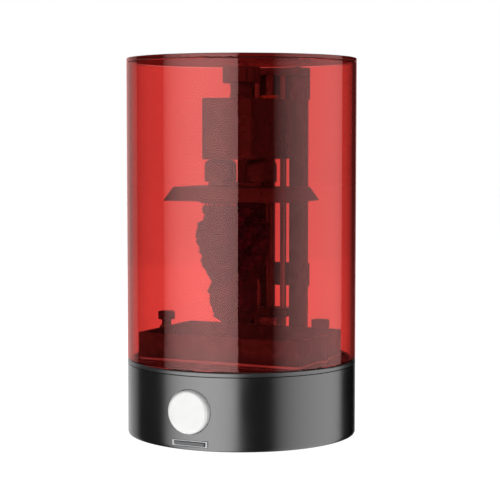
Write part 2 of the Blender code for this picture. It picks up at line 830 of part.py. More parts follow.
def build_light_source():
    """Build the lamp's heat sink, board, lens and shroud, and the mask screen over them."""
    sink_bottom = INSIDE_FLOOR + FIT_GAP
    sink_top = sink_bottom + SINK_HEIGHT
    half = SINK_WIDTH / 2
    sink = add_block(
        "lamp_heat_sink",
        (-half, VAT_SHIFT - half, sink_bottom),
        (half, VAT_SHIFT + half, sink_top),
        bare_aluminium(),
    )
    pitch = SINK_WIDTH / (SINK_SLOTS + 1)
    slots = slotted_cutter(
        "lamp_sink_slots",
        (pitch * 0.6, 2 * SINK_WIDTH, 1.4 * SINK_HEIGHT),
        pitch,
        SINK_SLOTS,
        (0, VAT_SHIFT, sink_bottom),
    )
    combine(sink, slots)
    board_bottom = sink_top + FIT_GAP
    half = LED_BOARD_WIDTH / 2
    add_block(
        "lamp_board",
        (-half, VAT_SHIFT - half, board_bottom),
        (half, VAT_SHIFT + half, board_bottom + BOARD_THICKNESS),
        board_green(),
    )
    lens_bottom = board_bottom + BOARD_THICKNESS + FIT_GAP
    dome = [
        (
            LENS_RADIUS * math.sin(step * math.pi / 12),
            LENS_HEIGHT * (0.3 + 0.7 * math.cos(step * math.pi / 12)),
        )
        for step in range(7)
    ]
    add_turned(
        "lamp_lens",
        [*dome, (LENS_RADIUS, 0), (0, 0)],
        clear_glass(),
        (0, VAT_SHIFT, lens_bottom),
    )
    build_shroud(lens_bottom + FIT_GAP)
    window = [side / 2 for side in SCREEN_SIZE]
    add_block(
        "mask_screen",
        (-window[0], VAT_SHIFT - window[1], DECK_BOTTOM),
        (window[0], VAT_SHIFT + window[1], DECK_TOP),
        screen_black(),
    )
    window = [side / 2 for side in GLASS_SIZE]
    add_block(
        "screen_glass",
        (-window[0], VAT_SHIFT - window[1], DECK_TOP + FIT_GAP),
        (window[0], VAT_SHIFT + window[1], DECK_TOP + FIT_GAP + GLASS_THICKNESS),
        clear_glass(),
    )


def build_shroud(bottom):
    """Build the tapered light shroud: the inside of a flanged funnel, with its wall added outside."""
    top = BASE_HEIGHT
    shape = bmesh.new()
    levels = (
        (LAMP_HALF, LAMP_HALF, bottom),
        (PLATE_LENGTH / 2, PLATE_WIDTH / 2, top),
        (SCREEN_SIZE[0] / 2 + SHROUD_LEDGE, SCREEN_SIZE[1] / 2 + SHROUD_WALL, top),
    )
    rings = []
    for wide, deep, height in levels:
        corners = ((-wide, -deep), (wide, -deep), (wide, deep), (-wide, deep))
        rings.append([shape.verts.new((x, y, height)) for x, y in corners])
    for lower, upper in zip(rings, rings[1:]):
        for index in range(4):
            after = (index + 1) % 4
            shape.faces.new((lower[index], lower[after], upper[after], upper[index]))
    shroud = add_piece(
        "light_shroud", mesh_from(shape, "light_shroud"), black_plastic(), (0, VAT_SHIFT, 0)
    )
    wall = shroud.modifiers.new("wall", "SOLIDIFY")
    wall.thickness = SHROUD_WALL
    wall.offset = 1.0
    wall.use_even_offset = True


def build_fan():
    """Build the cooling fan's frame and rotor."""
    low = INSIDE_FLOOR + FIT_GAP
    half = FAN_WIDTH / 2
    frame = add_block(
        "fan_frame",
        (FAN_X - half, -half, low),
        (FAN_X + half, half, low + FAN_HEIGHT),
        black_plastic(),
        corner=FAN_CORNER,
    )
    cut_hole(frame, "fan_duct", (FAN_X, 0, low), FAN_HOLE_RADIUS, 4 * FAN_HEIGHT, steps=32)
    for index, (wide, deep) in enumerate(((half, FAN_STRUT), (FAN_STRUT, half))):
        cut_block(
            frame,
            f"fan_strut_{index}",
            (FAN_X - wide + FIT_GAP, -deep + FIT_GAP, low),
            (FAN_X + wide - FIT_GAP, deep - FIT_GAP, low + FAN_STRUT),
            "UNION",
        )
    hub_bottom = low + FAN_STRUT + 2 * FIT_GAP
    hub_height = FAN_HEIGHT - FAN_STRUT - 3 * FIT_GAP
    axis = joint_frame("fan_axis", (FAN_X, 0, hub_bottom + hub_height / 2))
    rotor = add_piece(
        "fan_rotor",
        cylinder_mesh("fan_rotor", FAN_HUB_RADIUS, hub_height),
        black_plastic(),
        (FAN_X, 0, hub_bottom + hub_height / 2),
        axis,
    )
    combine(rotor, fan_blades(hub_bottom + hub_height / 2, hub_height), "UNION")


def fan_blades(middle, height):
    """Return the fan's tilted blades as one helper solid."""
    shape = bmesh.new()
    tip = FAN_HOLE_RADIUS - 3 * FIT_GAP
    root = FAN_HUB_RADIUS - BLADE_THICKNESS
    length = tip - root
    for index in range(FAN_BLADES):
        around = Matrix.Rotation(index * math.tau / FAN_BLADES, 4, "Z")
        out = Matrix.Translation(((tip + root) / 2, 0, 0))
        tilt = Matrix.Rotation(math.radians(50), 4, "X")
        size = Matrix.Diagonal((length, BLADE_THICKNESS, height * 0.9, 1.0))
        bmesh.ops.create_cube(shape, size=1.0, matrix=around @ out @ tilt @ size)
    return add_cutter("fan_blades", mesh_from(shape, "fan_blades"), (FAN_X, 0, middle))


def build_vat():
    """Build the vat's frame, film and clamp ring, on the axis along which it lifts out."""
    axis = joint_frame("vat_lift_axis", (0, VAT_SHIFT, VAT_BOTTOM))
    half = [side / 2 for side in VAT_OUTER]
    inner = [side / 2 for side in VAT_INNER]
    frame = add_block(
        "vat_frame",
        (-half[0], VAT_SHIFT - half[1], VAT_BOTTOM),
        (half[0], VAT_SHIFT + half[1], VAT_TOP),
        black_anodised(),
        axis,
        VAT_CORNER,
    )
    cut_block(
        frame,
        "vat_inside",
        (-inner[0], VAT_SHIFT - inner[1], VAT_BOTTOM - VAT_HEIGHT),
        (inner[0], VAT_SHIFT + inner[1], VAT_TOP + VAT_HEIGHT),
    )
    ring = add_block(
        "film_clamp_ring",
        (-half[0], VAT_SHIFT - half[1], RING_BOTTOM),
        (half[0], VAT_SHIFT + half[1], RING_BOTTOM + RING_THICKNESS),
        bare_aluminium(),
        axis,
        VAT_CORNER,
    )
    opening = [side / 2 for side in RING_INNER]
    cut_block(
        ring,
        "ring_opening",
        (-opening[0], VAT_SHIFT - opening[1], RING_BOTTOM - RING_THICKNESS),
        (opening[0], VAT_SHIFT + opening[1], RING_BOTTOM + 2 * RING_THICKNESS),
    )
    film = add_block(
        "release_film",
        (-half[0], VAT_SHIFT - half[1], FILM_BOTTOM),
        (half[0], VAT_SHIFT + half[1], FILM_TOP),
        clear_film(),
        axis,
        VAT_CORNER,
    )
    levels = (
        (frame, VAT_BOTTOM, VAT_TOP),
        (ring, RING_BOTTOM, RING_BOTTOM + RING_THICKNESS),
        (film, FILM_BOTTOM, FILM_TOP),
    )
    for piece, low, high in levels:
        for side in (-1, 1):
            lug = cylinder_mesh(f"{piece.name}_lug_{side}", LUG_RADIUS, high - low)
            at = (side * THUMB_X, VAT_SHIFT, (low + high) / 2)
            combine(piece, add_cutter(lug.name, lug, at), "UNION")
            cut_hole(
                piece,
                f"{piece.name}_screw_hole_{side}",
                (side * THUMB_X, VAT_SHIFT, VAT_BOTTOM),
                THUMB_SHANK_RADIUS + FIT_GAP,
                4 * VAT_HEIGHT,
                steps=16,
            )
    for side, hand in ((-1, "left"), (1, "right")):
        build_thumb_screw(side * THUMB_X, hand, axis)


def build_thumb_screw(across, hand, vat_axis):
    """Build one thumb screw and the washer that rises with it."""
    rise = joint_frame(f"thumb_{hand}_rise_axis", (across, VAT_SHIFT, THUMB_SHOULDER), vat_axis)
    spin = joint_frame(f"thumb_{hand}_turn_axis", (across, VAT_SHIFT, THUMB_SHOULDER), rise)
    washer_low = VAT_TOP + FIT_GAP - THUMB_SHOULDER
    add_turned(
        f"thumb_washer_{hand}",
        ring_outline(
            THUMB_SHANK_RADIUS + RUNNING_GAP,
            WASHER_RADIUS,
            washer_low,
            washer_low + WASHER_THICKNESS,
        ),
        bare_steel(),
        (across, VAT_SHIFT, THUMB_SHOULDER),
        closed=True,
        parent=rise,
        steps=16,
    )
    neck_top = THUMB_NECK_HEIGHT
    top = neck_top + THUMB_HEAD_HEIGHT
    add_turned(
        f"thumb_screw_{hand}",
        [
            (0, top),
            (THUMB_HEAD_RADIUS - SMALL_BEVEL, top),
            (THUMB_HEAD_RADIUS, top - SMALL_BEVEL),
            (THUMB_HEAD_RADIUS, neck_top + SMALL_BEVEL),
            (THUMB_HEAD_RADIUS - SMALL_BEVEL, neck_top),
            (THUMB_NECK_RADIUS, neck_top),
            (THUMB_NECK_RADIUS, 0),
            (THUMB_SHANK_RADIUS, 0),
            (THUMB_SHANK_RADIUS, -THUMB_SHANK_LENGTH + SMALL_BEVEL),
            (THUMB_SHANK_RADIUS - SMALL_BEVEL, -THUMB_SHANK_LENGTH),
            (0, -THUMB_SHANK_LENGTH),
        ],
        black_anodised(),
        (across, VAT_SHIFT, THUMB_SHOULDER),
        parent=spin,
    )


def build_tower():
    """Build the lift tower: posts, guide rods, back, screw support, top plate and bearing."""
    dark = black_anodised()
    inner = TOWER_INNER / 2
    outer = inner + POST_BAR_WIDTH
    for side, hand in ((-1, "left"), (1, "right")):
        near, far = sorted((side * inner, side * outer))
        add_block(
            f"tower_post_{hand}",
            (near, POST_FRONT_Y, DECK_TOP + FIT_GAP),
            (far, POST_BACK_Y, TOP_PLATE_BOTTOM - FIT_GAP),
            dark,
        )
        rod_low = DECK_TOP + FIT_GAP
        rod_high = TOWER_TOP - FIT_GAP
        add_piece(
            f"guide_rod_{hand}",
            cylinder_mesh(f"guide_rod_{hand}", ROD_RADIUS, rod_high - rod_low, 16),
            bare_steel(),
            (side * ROD_SPREAD, SCREW_Y, (rod_high + rod_low) / 2),
        )
    top_plate = add_block(
        "tower_top_plate",
        (-outer, SCREW_Y - TOP_PLATE_FORWARD, TOP_PLATE_BOTTOM),
        (outer, POST_BACK_Y, TOWER_TOP),
        dark,
        corner=BLOCK_CORNER,
    )
    at_top = (0, SCREW_Y, TOWER_TOP)
    cut_hole(top_plate, "bearing_seat", at_top, BEARING_RADIUS + RUNNING_GAP, 4 * TOP_PLATE_THICKNESS)
    support = add_block(
        "screw_support",
        (-inner + FIT_GAP, SCREW_Y - TOP_PLATE_FORWARD, SUPPORT_BOTTOM),
        (inner - FIT_GAP, POST_BACK_Y, SUPPORT_BOTTOM + SUPPORT_HEIGHT),
        dark,
    )
    at_support = (0, SCREW_Y, SUPPORT_BOTTOM)
    cut_hole(support, "support_bore", at_support, SCREW_RADIUS + FIT_GAP, 4 * SUPPORT_HEIGHT)
    for side in (-1, 1):
        for piece, height in ((top_plate, TOWER_TOP), (support, SUPPORT_BOTTOM)):
            cut_hole(
                piece,
                f"{piece.name}_rod_hole_{side}",
                (side * ROD_SPREAD, SCREW_Y, height),
                ROD_RADIUS + RUNNING_GAP,
                4 * SUPPORT_HEIGHT,
                steps=16,
            )
    add_turned(
        "screw_top_bearing",
        ring_outline(
            JOURNAL_RADIUS + RUNNING_GAP,
            BEARING_RADIUS,
            TOP_PLATE_BOTTOM + FIT_GAP,
            TOWER_TOP - 4 * FIT_GAP,
        ),
        bare_steel(),
        (0, SCREW_Y, 0),
        closed=True,
    )
    bridge_low = SUPPORT_BOTTOM + SUPPORT_HEIGHT + BRIDGE_ABOVE_SUPPORT
    back_front = POST_BACK_Y + FIT_GAP
    back = add_block(
        "tower_back",
        (-outer, back_front, DECK_TOP + FIT_GAP),
        (BACK_EDGE, back_front + BACK_THICKNESS, TOWER_TOP),
        dark,
    )
    cut_block(
        back,
        "tower_bridge",
        (BACK_EDGE - BACK_THICKNESS, back_front, bridge_low),
        (outer, back_front + BACK_THICKNESS, bridge_low + BRIDGE_HEIGHT),
        "UNION",
    )
    cut_block(
        back,
        "tower_top_bridge",
        (BACK_EDGE - BACK_THICKNESS, back_front, ARM_TOP),
        (outer, back_front + BACK_THICKNESS, TOWER_TOP),
        "UNION",
    )


def build_drive():
    """Build the motor, its shaft, the coupling and the lead screw."""
    half = MOTOR_WIDTH / 2
    motor_top = BASE_HEIGHT
    motor = add_block(
        "lift_motor",
        (-half, SCREW_Y - half, motor_top - MOTOR_HEIGHT),
        (half, SCREW_Y + half, motor_top),
        black_anodised(),
        corner=MOTOR_CORNER,
    )
    bore = JOURNAL_RADIUS + RUNNING_GAP
    cut_hole(motor, "motor_bore", (0, SCREW_Y, motor_top), bore, MOTOR_HEIGHT)
    axis = joint_frame("lead_screw_axis", (0, SCREW_Y, COUPLING_MIDDLE))
    shaft_low = motor_top - 0.3 * MOTOR_HEIGHT
    shaft_high = COUPLING_MIDDLE - FIT_GAP
    add_piece(
        "motor_shaft",
        cylinder_mesh("motor_shaft", JOURNAL_RADIUS, shaft_high - shaft_low, 16),
        bare_steel(),
        (0, SCREW_Y, (shaft_low + shaft_high) / 2),
        axis,
    )
    half = COUPLING_HEIGHT / 2
    add_turned(
        "shaft_coupling",
        [
            (COUPLING_RADIUS - SMALL_BEVEL, half),
            (COUPLING_RADIUS, half - SMALL_BEVEL),
            (COUPLING_RADIUS, SMALL_BEVEL - half),
            (COUPLING_RADIUS - SMALL_BEVEL, -half),
            (JOURNAL_RADIUS + RUNNING_GAP, -half),
            (JOURNAL_RADIUS + RUNNING_GAP, 0),
            (SCREW_RADIUS + RUNNING_GAP, 0),
            (SCREW_RADIUS + RUNNING_GAP, half),
        ],
        bare_aluminium(),
        (0, SCREW_Y, COUPLING_MIDDLE),
        closed=True,
        parent=axis,
    )
    shoulder = TOP_PLATE_BOTTOM - 4 * FIT_GAP
    add_turned(
        "lead_screw",
        [
            (0, TOWER_TOP - 5 * FIT_GAP),
            (JOURNAL_RADIUS, TOWER_TOP - 5 * FIT_GAP),
            (JOURNAL_RADIUS, shoulder),
            (SCREW_RADIUS, shoulder),
            (SCREW_RADIUS, COUPLING_MIDDLE + FIT_GAP),
            (0, COUPLING_MIDDLE + FIT_GAP),
        ],
        bare_steel(),
        (0, SCREW_Y, 0),
        parent=axis,
    )


def build_carriage():
    """Build the carriage with its nut and bushes, and the arm that it carries."""
    axis = joint_frame("lift_axis", (0, SCREW_Y, ARM_BOTTOM))
    plate_back = POST_FRONT_Y - 8 * FIT_GAP
    plate_front = plate_back - CARRIAGE_DEPTH
    half = CARRIAGE_WIDTH / 2
    slider = SLIDER_WIDTH / 2
    carriage = add_block(
        "carriage_block",
        (-half, plate_front, ARM_BOTTOM),
        (half, plate_back, ARM_TOP),
        black_anodised(),
        axis,
    )
    cut_block(
        carriage,
        "carriage_slider",
        (-slider, plate_front + CARRIAGE_DEPTH / 2, ARM_BOTTOM),
        (slider, SCREW_Y + SLIDER_BEHIND, ARM_TOP),
        "UNION",
    )
    at = (0, SCREW_Y, ARM_BOTTOM)
    cut_hole(carriage, "nut_seat", at, NUT_RADIUS + RUNNING_GAP, 4 * ARM_HEIGHT)
    bush_outer = ROD_RADIUS + RUNNING_GAP + BUSH_WALL
    for side, hand in ((-1, "left"), (1, "right")):
        at = (side * ROD_SPREAD, SCREW_Y, ARM_BOTTOM)
        cut_hole(carriage, f"bush_seat_{hand}", at, bush_outer + RUNNING_GAP, 4 * ARM_HEIGHT, steps=16)
        add_turned(
            f"guide_bush_{hand}",
            ring_outline(ROD_RADIUS + RUNNING_GAP, bush_outer, FIT_GAP, ARM_HEIGHT - FIT_GAP),
            brass(),
            at,
            closed=True,
            parent=axis,
            steps=16,
        )
    bore = SCREW_RADIUS + RUNNING_GAP
    add_turned(
        "lead_nut",
        [
            (NUT_FLANGE_RADIUS, ARM_HEIGHT + FIT_GAP + NUT_FLANGE_HEIGHT),
            (NUT_FLANGE_RADIUS, ARM_HEIGHT + FIT_GAP),
            (NUT_RADIUS, ARM_HEIGHT + FIT_GAP),
            (NUT_RADIUS, ARM_HEIGHT / 2),
            (bore, ARM_HEIGHT / 2),
            (bore, ARM_HEIGHT + FIT_GAP + NUT_FLANGE_HEIGHT),
        ],
        brass(),
        (0, SCREW_Y, ARM_BOTTOM),
        closed=True,
        parent=axis,
    )
    build_arm(axis, plate_front - FIT_GAP)
    return axis


def build_arm(axis, arm_back):
    """Build the arm head, bored for the clamp and the platform's pins, and its sleeve."""
    half = ARM_WIDTH / 2
    arm = add_block(
        "arm_head",
        (-half, -ARM_REACH, ARM_BOTTOM),
        (half, arm_back, ARM_TOP),
        black_anodised(),
        axis,
    )
    bore = CLAMP_ROD_RADIUS + 2 * RUNNING_GAP
    floor = ARM_BOTTOM + PAD_FLOOR
    depth = 2 * (ARM_TOP - floor)
    cut_hole(arm, "clamp_bore", (0, 0, ARM_TOP), bore, depth)
    for side in (-1, 1):
        cut_hole(
            arm,
            f"pin_socket_{side}",
            (side * PIN_SPREAD, POST_SHIFT, ARM_BOTTOM),
            PIN_RADIUS + FIT_GAP,
            2 * (PIN_HEIGHT + 2 * FIT_GAP),
        )
    add_turned(
        "clamp_sleeve",
        ring_outline(bore, SLEEVE_RADIUS, 0, SLEEVE_HEIGHT),
        black_anodised(),
        (0, 0, SLEEVE_BOTTOM),
        closed=True,
        parent=axis,
    )


def build_clamp(lift_axis):
    """Build the clamp knob, its rod and the pad that the rod presses."""
    rise = joint_frame("clamp_rise_axis", (0, 0, CLAMP_KNOB_BOTTOM), lift_axis)
    turn = joint_frame("clamp_turn_axis", (0, 0, CLAMP_KNOB_BOTTOM), rise)
    pad_low = ARM_BOTTOM + PAD_FLOOR + FIT_GAP
    add_piece(
        "clamp_pad",
        cylinder_mesh("clamp_pad", PAD_RADIUS, PAD_HEIGHT),
        brass(),
        (0, 0, pad_low + PAD_HEIGHT / 2),
        rise,
    )
    rod_low = pad_low + PAD_HEIGHT + FIT_GAP
    rod_high = CLAMP_KNOB_BOTTOM + CLAMP_ROD_RISE
    add_piece(
        "clamp_rod",
        cylinder_mesh("clamp_rod", CLAMP_ROD_RADIUS, rod_high - rod_low, 16),
        bare_steel(),
        (0, 0, (rod_low + rod_high) / 2),
        turn,
    )
    bore = CLAMP_ROD_RADIUS + RUNNING_GAP
    add_turned(
        "clamp_knob",
        [
            (0, CLAMP_KNOB_HEIGHT),
            (CLAMP_KNOB_RADIUS * 0.6, CLAMP_KNOB_HEIGHT - CLAMP_KNOB_DOME * 0.2),
            (CLAMP_KNOB_RADIUS - SMALL_BEVEL, CLAMP_KNOB_HEIGHT - CLAMP_KNOB_DOME * 0.7),
            (CLAMP_KNOB_RADIUS, CLAMP_KNOB_HEIGHT - CLAMP_KNOB_DOME),
            (CLAMP_KNOB_RADIUS, SMALL_BEVEL),
            (CLAMP_KNOB_RADIUS - SMALL_BEVEL, 0),
            (bore, 0),
            (bore, CLAMP_ROD_RISE + FIT_GAP),
            (0, CLAMP_ROD_RISE + FIT_GAP),
        ],
        black_plastic(),
        (0, 0, CLAMP_KNOB_BOTTOM),
        parent=turn,
        steps=32,
    )


def build_platform(lift_axis):
    """Build the platform that hangs from the arm: plate, hub and domed posts."""
    axis = joint_frame("platform_drop_axis", (0, 0, ARM_BOTTOM), lift_axis)
    add_piece(
        "build_plate",
        plate_mesh(),
        black_anodised(),
        (0, 0, PLATE_BOTTOM),
        axis,
    )
    half = [side / 2 for side in HUB_SIZE]
    add_block(
        "platform_hub",
        (-half[0], POST_SHIFT - half[1], HUB_BOTTOM),
        (half[0], POST_SHIFT + half[1], HUB_BOTTOM + HUB_SIZE[2]),
        black_anodised(),
        axis,
        corner=BLOCK_CORNER,
    )
    for side, hand in ((-1, "left"), (1, "right")):
        add_post(side, hand, axis)
    return axis


def plate_mesh():
    """Return the build plate: a flat face below, with sides that slope in to the top."""
    shape = bmesh.new()
    size = Matrix.Diagonal((PLATE_LENGTH, PLATE_WIDTH, PLATE_EDGE, 1.0))
    lift = Matrix.Translation((0, 0, PLATE_EDGE / 2))
    bmesh.ops.create_cube(shape, size=1.0, matrix=lift @ size)
    shape.faces.ensure_lookup_table()
    top = max(shape.faces, key=lambda face: face.calc_center_median().z)
    made = bmesh.ops.extrude_face_region(shape, geom=[top])
    bmesh.ops.delete(shape, geom=[top], context="FACES_ONLY")
    raised = [item for item in made["geom"] if isinstance(item, bmesh.types.BMVert)]
    narrow = Matrix.Diagonal(
        (
            1 - 2 * PLATE_SIDE_SLOPE / PLATE_LENGTH,
            1 - 2 * PLATE_SIDE_SLOPE / PLATE_WIDTH,
            1.0,
        )
    )
    bmesh.ops.transform(shape, matrix=narrow.to_4x4(), verts=raised)
    bmesh.ops.translate(shape, vec=(0, 0, PLATE_THICKNESS - PLATE_EDGE), verts=raised)
    return mesh_from(shape, "build_plate")


def add_post(side, hand, axis):
    """Add one domed post, with the pin that stands in the arm."""
    name = f"platform_post_{hand}"
    dome = [
        (
            POST_RADIUS - POST_DOME + POST_DOME * math.sin(step * math.pi / 8),
            POST_HEIGHT - POST_DOME + POST_DOME * math.cos(step * math.pi / 8),
        )
        for step in range(5)
    ]
    post = add_turned(
        name,
        [(0, POST_HEIGHT), *dome, (POST_RADIUS, 0), (0, 0)],
        black_anodised(),
        (side * POST_SPREAD, POST_SHIFT, POST_BOTTOM),
        parent=axis,
    )
    pin = cylinder_mesh(f"{name}_pin", PIN_RADIUS, PIN_HEIGHT + POST_HEIGHT / 2)
    pin_low = POST_TOP - POST_HEIGHT / 2
    pin_middle = pin_low + (PIN_HEIGHT + POST_HEIGHT / 2) / 2
    combine(post, add_cutter(f"{name}_pin", pin, (side * PIN_SPREAD, POST_SHIFT, pin_middle)), "UNION")


def build_print(platform_axis):
    """Build the printed piece that hangs under the plate as a plain, tapering solid."""
    top = PLATE_BOTTOM - FIT_GAP
    outline = [(PRINT_WIDE * share, -PRINT_LENGTH * down) for down, share in PRINT_PROFILE]
    piece = add_turned(
        "sample_print",
        [(0, 0), *outline, (0, -PRINT_LENGTH)],
        purple_resin(),
        (*PRINT_CENTRE, top),
        parent=platform_axis,
        steps=20,
    )
    piece.scale.y = PRINT_DEEP / PRINT_WIDE


def build_cover():
    """Build the clear cover: a tube and the disc that closes it."""
    axis = joint_frame("cover_lift_axis", (0, 0, COVER_BOTTOM))
    acrylic = red_acrylic()
    outer = BASE_RADIUS
    add_turned(
        "cover_tube",
        ring_outline(outer - COVER_WALL, outer, COVER_BOTTOM, COVER_TOP_BOTTOM - FIT_GAP),
        acrylic,
        (0, 0, 0),
        closed=True,
        parent=axis,
        steps=ROUND_STEPS,
    )
    add_piece(
        "cover_top",
        cylinder_mesh("cover_top", outer, COVER_TOP_THICKNESS, ROUND_STEPS),
        acrylic,
        (0, 0, COVER_TOP_BOTTOM + COVER_TOP_THICKNESS / 2),
        axis,
    )


def build_printer():
    """Build every sub-assembly from the base up."""
    build_casing()
    build_encoder()
    build_card_reader()
    build_electronics()
    build_light_source()
    build_fan()
    build_vat()
    build_tower()
    build_drive()
    lift_axis = build_carriage()
    build_clamp(lift_axis)
    build_print(build_platform(lift_axis))
    build_cover()


build_printer()
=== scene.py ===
"""Looks of a desktop resin printer: casing, knob, vat, lift tower, platform, print and red cover.

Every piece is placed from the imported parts, rides on one of their bodies and is in metres, +Z up.
"""

import logging
import math
from dataclasses import dataclass
from enum import Enum
from typing import Any, Callable, Dict, List, Optional, Sequence, Tuple, Union

import bmesh
import bpy
from mathutils import Matrix, Vector, noise


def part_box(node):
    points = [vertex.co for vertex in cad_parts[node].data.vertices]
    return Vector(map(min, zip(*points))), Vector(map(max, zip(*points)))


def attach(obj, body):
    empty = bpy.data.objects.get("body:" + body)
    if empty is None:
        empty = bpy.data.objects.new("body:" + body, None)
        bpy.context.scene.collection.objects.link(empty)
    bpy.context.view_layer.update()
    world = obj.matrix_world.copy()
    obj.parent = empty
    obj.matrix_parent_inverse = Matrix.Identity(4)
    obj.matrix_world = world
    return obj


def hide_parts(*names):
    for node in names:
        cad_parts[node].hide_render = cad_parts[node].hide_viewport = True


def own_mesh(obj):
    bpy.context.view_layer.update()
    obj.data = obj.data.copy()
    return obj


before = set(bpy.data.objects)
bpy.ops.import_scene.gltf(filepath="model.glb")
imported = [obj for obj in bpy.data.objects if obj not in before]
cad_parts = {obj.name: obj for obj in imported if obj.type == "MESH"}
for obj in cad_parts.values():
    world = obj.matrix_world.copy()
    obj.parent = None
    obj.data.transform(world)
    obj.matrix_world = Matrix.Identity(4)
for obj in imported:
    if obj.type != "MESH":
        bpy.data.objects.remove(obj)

LOG = logging.getLogger("resin_printer")
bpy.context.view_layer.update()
Point = Sequence[float]
Colour = Tuple[float, float, float]


class Direction(Enum):
    """The way a tool left its marks."""

    NONE = (1.0, 1.0, 1.0)
    ALONG_X = (0.02, 1.0, 1.0)
    ALONG_Z = (1.0, 1.0, 0.02)
    AROUND_Z = (0.03, 0.03, 1.0)


class Signal:
    """A number that varies over a surface, with ordinary arithmetic on it."""

    def __init__(self, sheet: "Sheet", socket: bpy.types.NodeSocket) -> None:
        """Keep the sheet that the number is worked out on and the socket that it comes from."""
        self.sheet = sheet
        self.socket = socket

    def _math(self, operation: str, first: Any, second: Any = None) -> "Signal":
        """Add one Math node.

        Args:
            operation: the node's operation.
            first: its first value, a number or a signal.
            second: its second value, where the operation takes two.

        Returns:
            The result as a signal.
        """
        inputs = {0: first} if second is None else {0: first, 1: second}
        made = self.sheet.node("ShaderNodeMath", {"operation": operation}, inputs)
        return Signal(self.sheet, made.outputs[0])

    def __add__(self, other: Any) -> "Signal":
        """Add."""
        return self._math("ADD", self, other)

    __radd__ = __add__

    def __sub__(self, other: Any) -> "Signal":
        """Take away."""
        return self._math("SUBTRACT", self, other)

    def __rsub__(self, other: Any) -> "Signal":
        """Take this away from a number."""
        return self._math("SUBTRACT", other, self)

    def __mul__(self, other: Any) -> "Signal":
        """Multiply."""
        return self._math("MULTIPLY", self, other)

    __rmul__ = __mul__

    def __pow__(self, other: Any) -> "Signal":
        """Raise to a power."""
        return self._math("POWER", self, other)

    def above(self, edge: float, softness: float) -> "Signal":
        """Return 0 below the edge and 1 above it, over a soft step."""
        return self.span(edge - softness, edge + softness, 0.0, 1.0)

    def span(self, low: float, high: float, to_low: float, to_high: float) -> "Signal":
        """Map the range low..high onto to_low..to_high, held at both ends.

        Args:
            low: where the input range starts.
            high: where it ends.
            to_low: the value at and below low.
            to_high: the value at and above high.

        Returns:
            The mapped signal.
        """
        inputs = {"Value": self, "From Min": low, "From Max": high, "To Min": to_low, "To Max": to_high}
        return Signal(self.sheet, self.sheet.node("ShaderNodeMapRange", {"clamp": True}, inputs).outputs[0])


class Sheet:
    """The shader sheet of one material."""

    def __init__(self, name: str) -> None:
        """Start an empty sheet with its output."""
        self.material = bpy.data.materials.new(name)
        self.material.use_nodes = True
        self.tree = self.material.node_tree
        self.tree.nodes.clear()
        self.output = self.node("ShaderNodeOutputMaterial")
        self._place: Optional[bpy.types.NodeSocket] = None

    def node(
        self,
        kind: str,
        settings: Optional[Dict[str, Any]] = None,
        inputs: Optional[Dict[Union[str, int], Any]] = None,
    ) -> bpy.types.Node:
        """Add a node.

        Args:
            kind: the node's type.
            settings: its own settings, set before its sockets.
            inputs: values, signals or sockets for its input sockets.

        Returns:
            The node.
        """
        made = self.tree.nodes.new(kind)
        for key, value in (settings or {}).items():
            setattr(made, key, value)
        for key, value in (inputs or {}).items():
            self.feed(made.inputs[key], value)
        return made

    def feed(self, socket: bpy.types.NodeSocket, value: Any) -> None:
        """Give a socket a plain value or a link."""
        if isinstance(value, Signal):
            value = value.socket
        if isinstance(value, bpy.types.Node):
            value = value.outputs[0]
        if isinstance(value, bpy.types.NodeSocket):
            self.tree.links.new(value, socket)
            return
        if socket.type == "RGBA" and len(value) == 3:
            value = (*value, 1.0)
        socket.default_value = value

    def place(self, scale: Point = (1.0, 1.0, 1.0), centre: Point = (0.0, 0.0, 0.0)) -> bpy.types.NodeSocket:
        """Return the surface point, from a centre and stretched.

        Args:
            scale: the factor along each axis.
            centre: the point that is moved to the origin first.

        Returns:
            The vector's socket.
        """
        if self._place is None:
            self._place = self.node("ShaderNodeTexCoord").outputs["Object"]
        inputs = {0: self._place, 1: tuple(centre)}
        moved = self.node("ShaderNodeVectorMath", {"operation": "SUBTRACT"}, inputs)
        inputs = {0: moved.outputs[0], 1: tuple(scale)}
        return self.node("ShaderNodeVectorMath", {"operation": "MULTIPLY"}, inputs).outputs[0]

    def grain(self, size: float, detail: float = 3.0, way: Direction = Direction.NONE) -> Signal:
        """Return noise whose patches are about size across.

        Args:
            size: the patches' size in metres.
            detail: how many finer levels it has.
            way: the direction along which the patches are drawn out.

        Returns:
            A signal from 0 to 1.
        """
        inputs = {"Vector": self.place(way.value), "Scale": 1.0 / size, "Detail": detail, "Roughness": 0.55}
        return Signal(self, self.node("ShaderNodeTexNoise", None, inputs).outputs[0])

    def cells(self, size: float, feature: str = "F1") -> Signal:
        """Return the distance in cells of about this size."""
        settings = {"feature": feature}
        inputs = {"Vector": self.place(), "Scale": 1.0 / size}
        return Signal(self, self.node("ShaderNodeTexVoronoi", settings, inputs).outputs["Distance"])

    def blend(self, first: Any, second: Any, share: Any) -> bpy.types.NodeSocket:
        """Mix two colours.

        Args:
            first: the colour where share is 0.
            second: the colour where share is 1.
            share: a signal or a number.

        Returns:
            The mixed colour's socket.
        """
        mix = self.node("ShaderNodeMix", {"data_type": "RGBA"}, {0: share})
        self.feed(mix.inputs[6], first)
        self.feed(mix.inputs[7], second)
        return mix.outputs[2]

    def relief(self, height: Signal, depth: float, strength: float = 1.0) -> bpy.types.NodeSocket:
        """Return a surface normal raised by a height signal."""
        inputs = {"Height": height, "Distance": depth, "Strength": strength}
        return self.node("ShaderNodeBump", None, inputs).outputs[0]

    def show(self, shader: bpy.types.Node) -> bpy.types.Material:
        """Connect the last shader to the output and return the material."""
        self.tree.links.new(shader.outputs[0], self.output.inputs["Surface"])
        return self.material


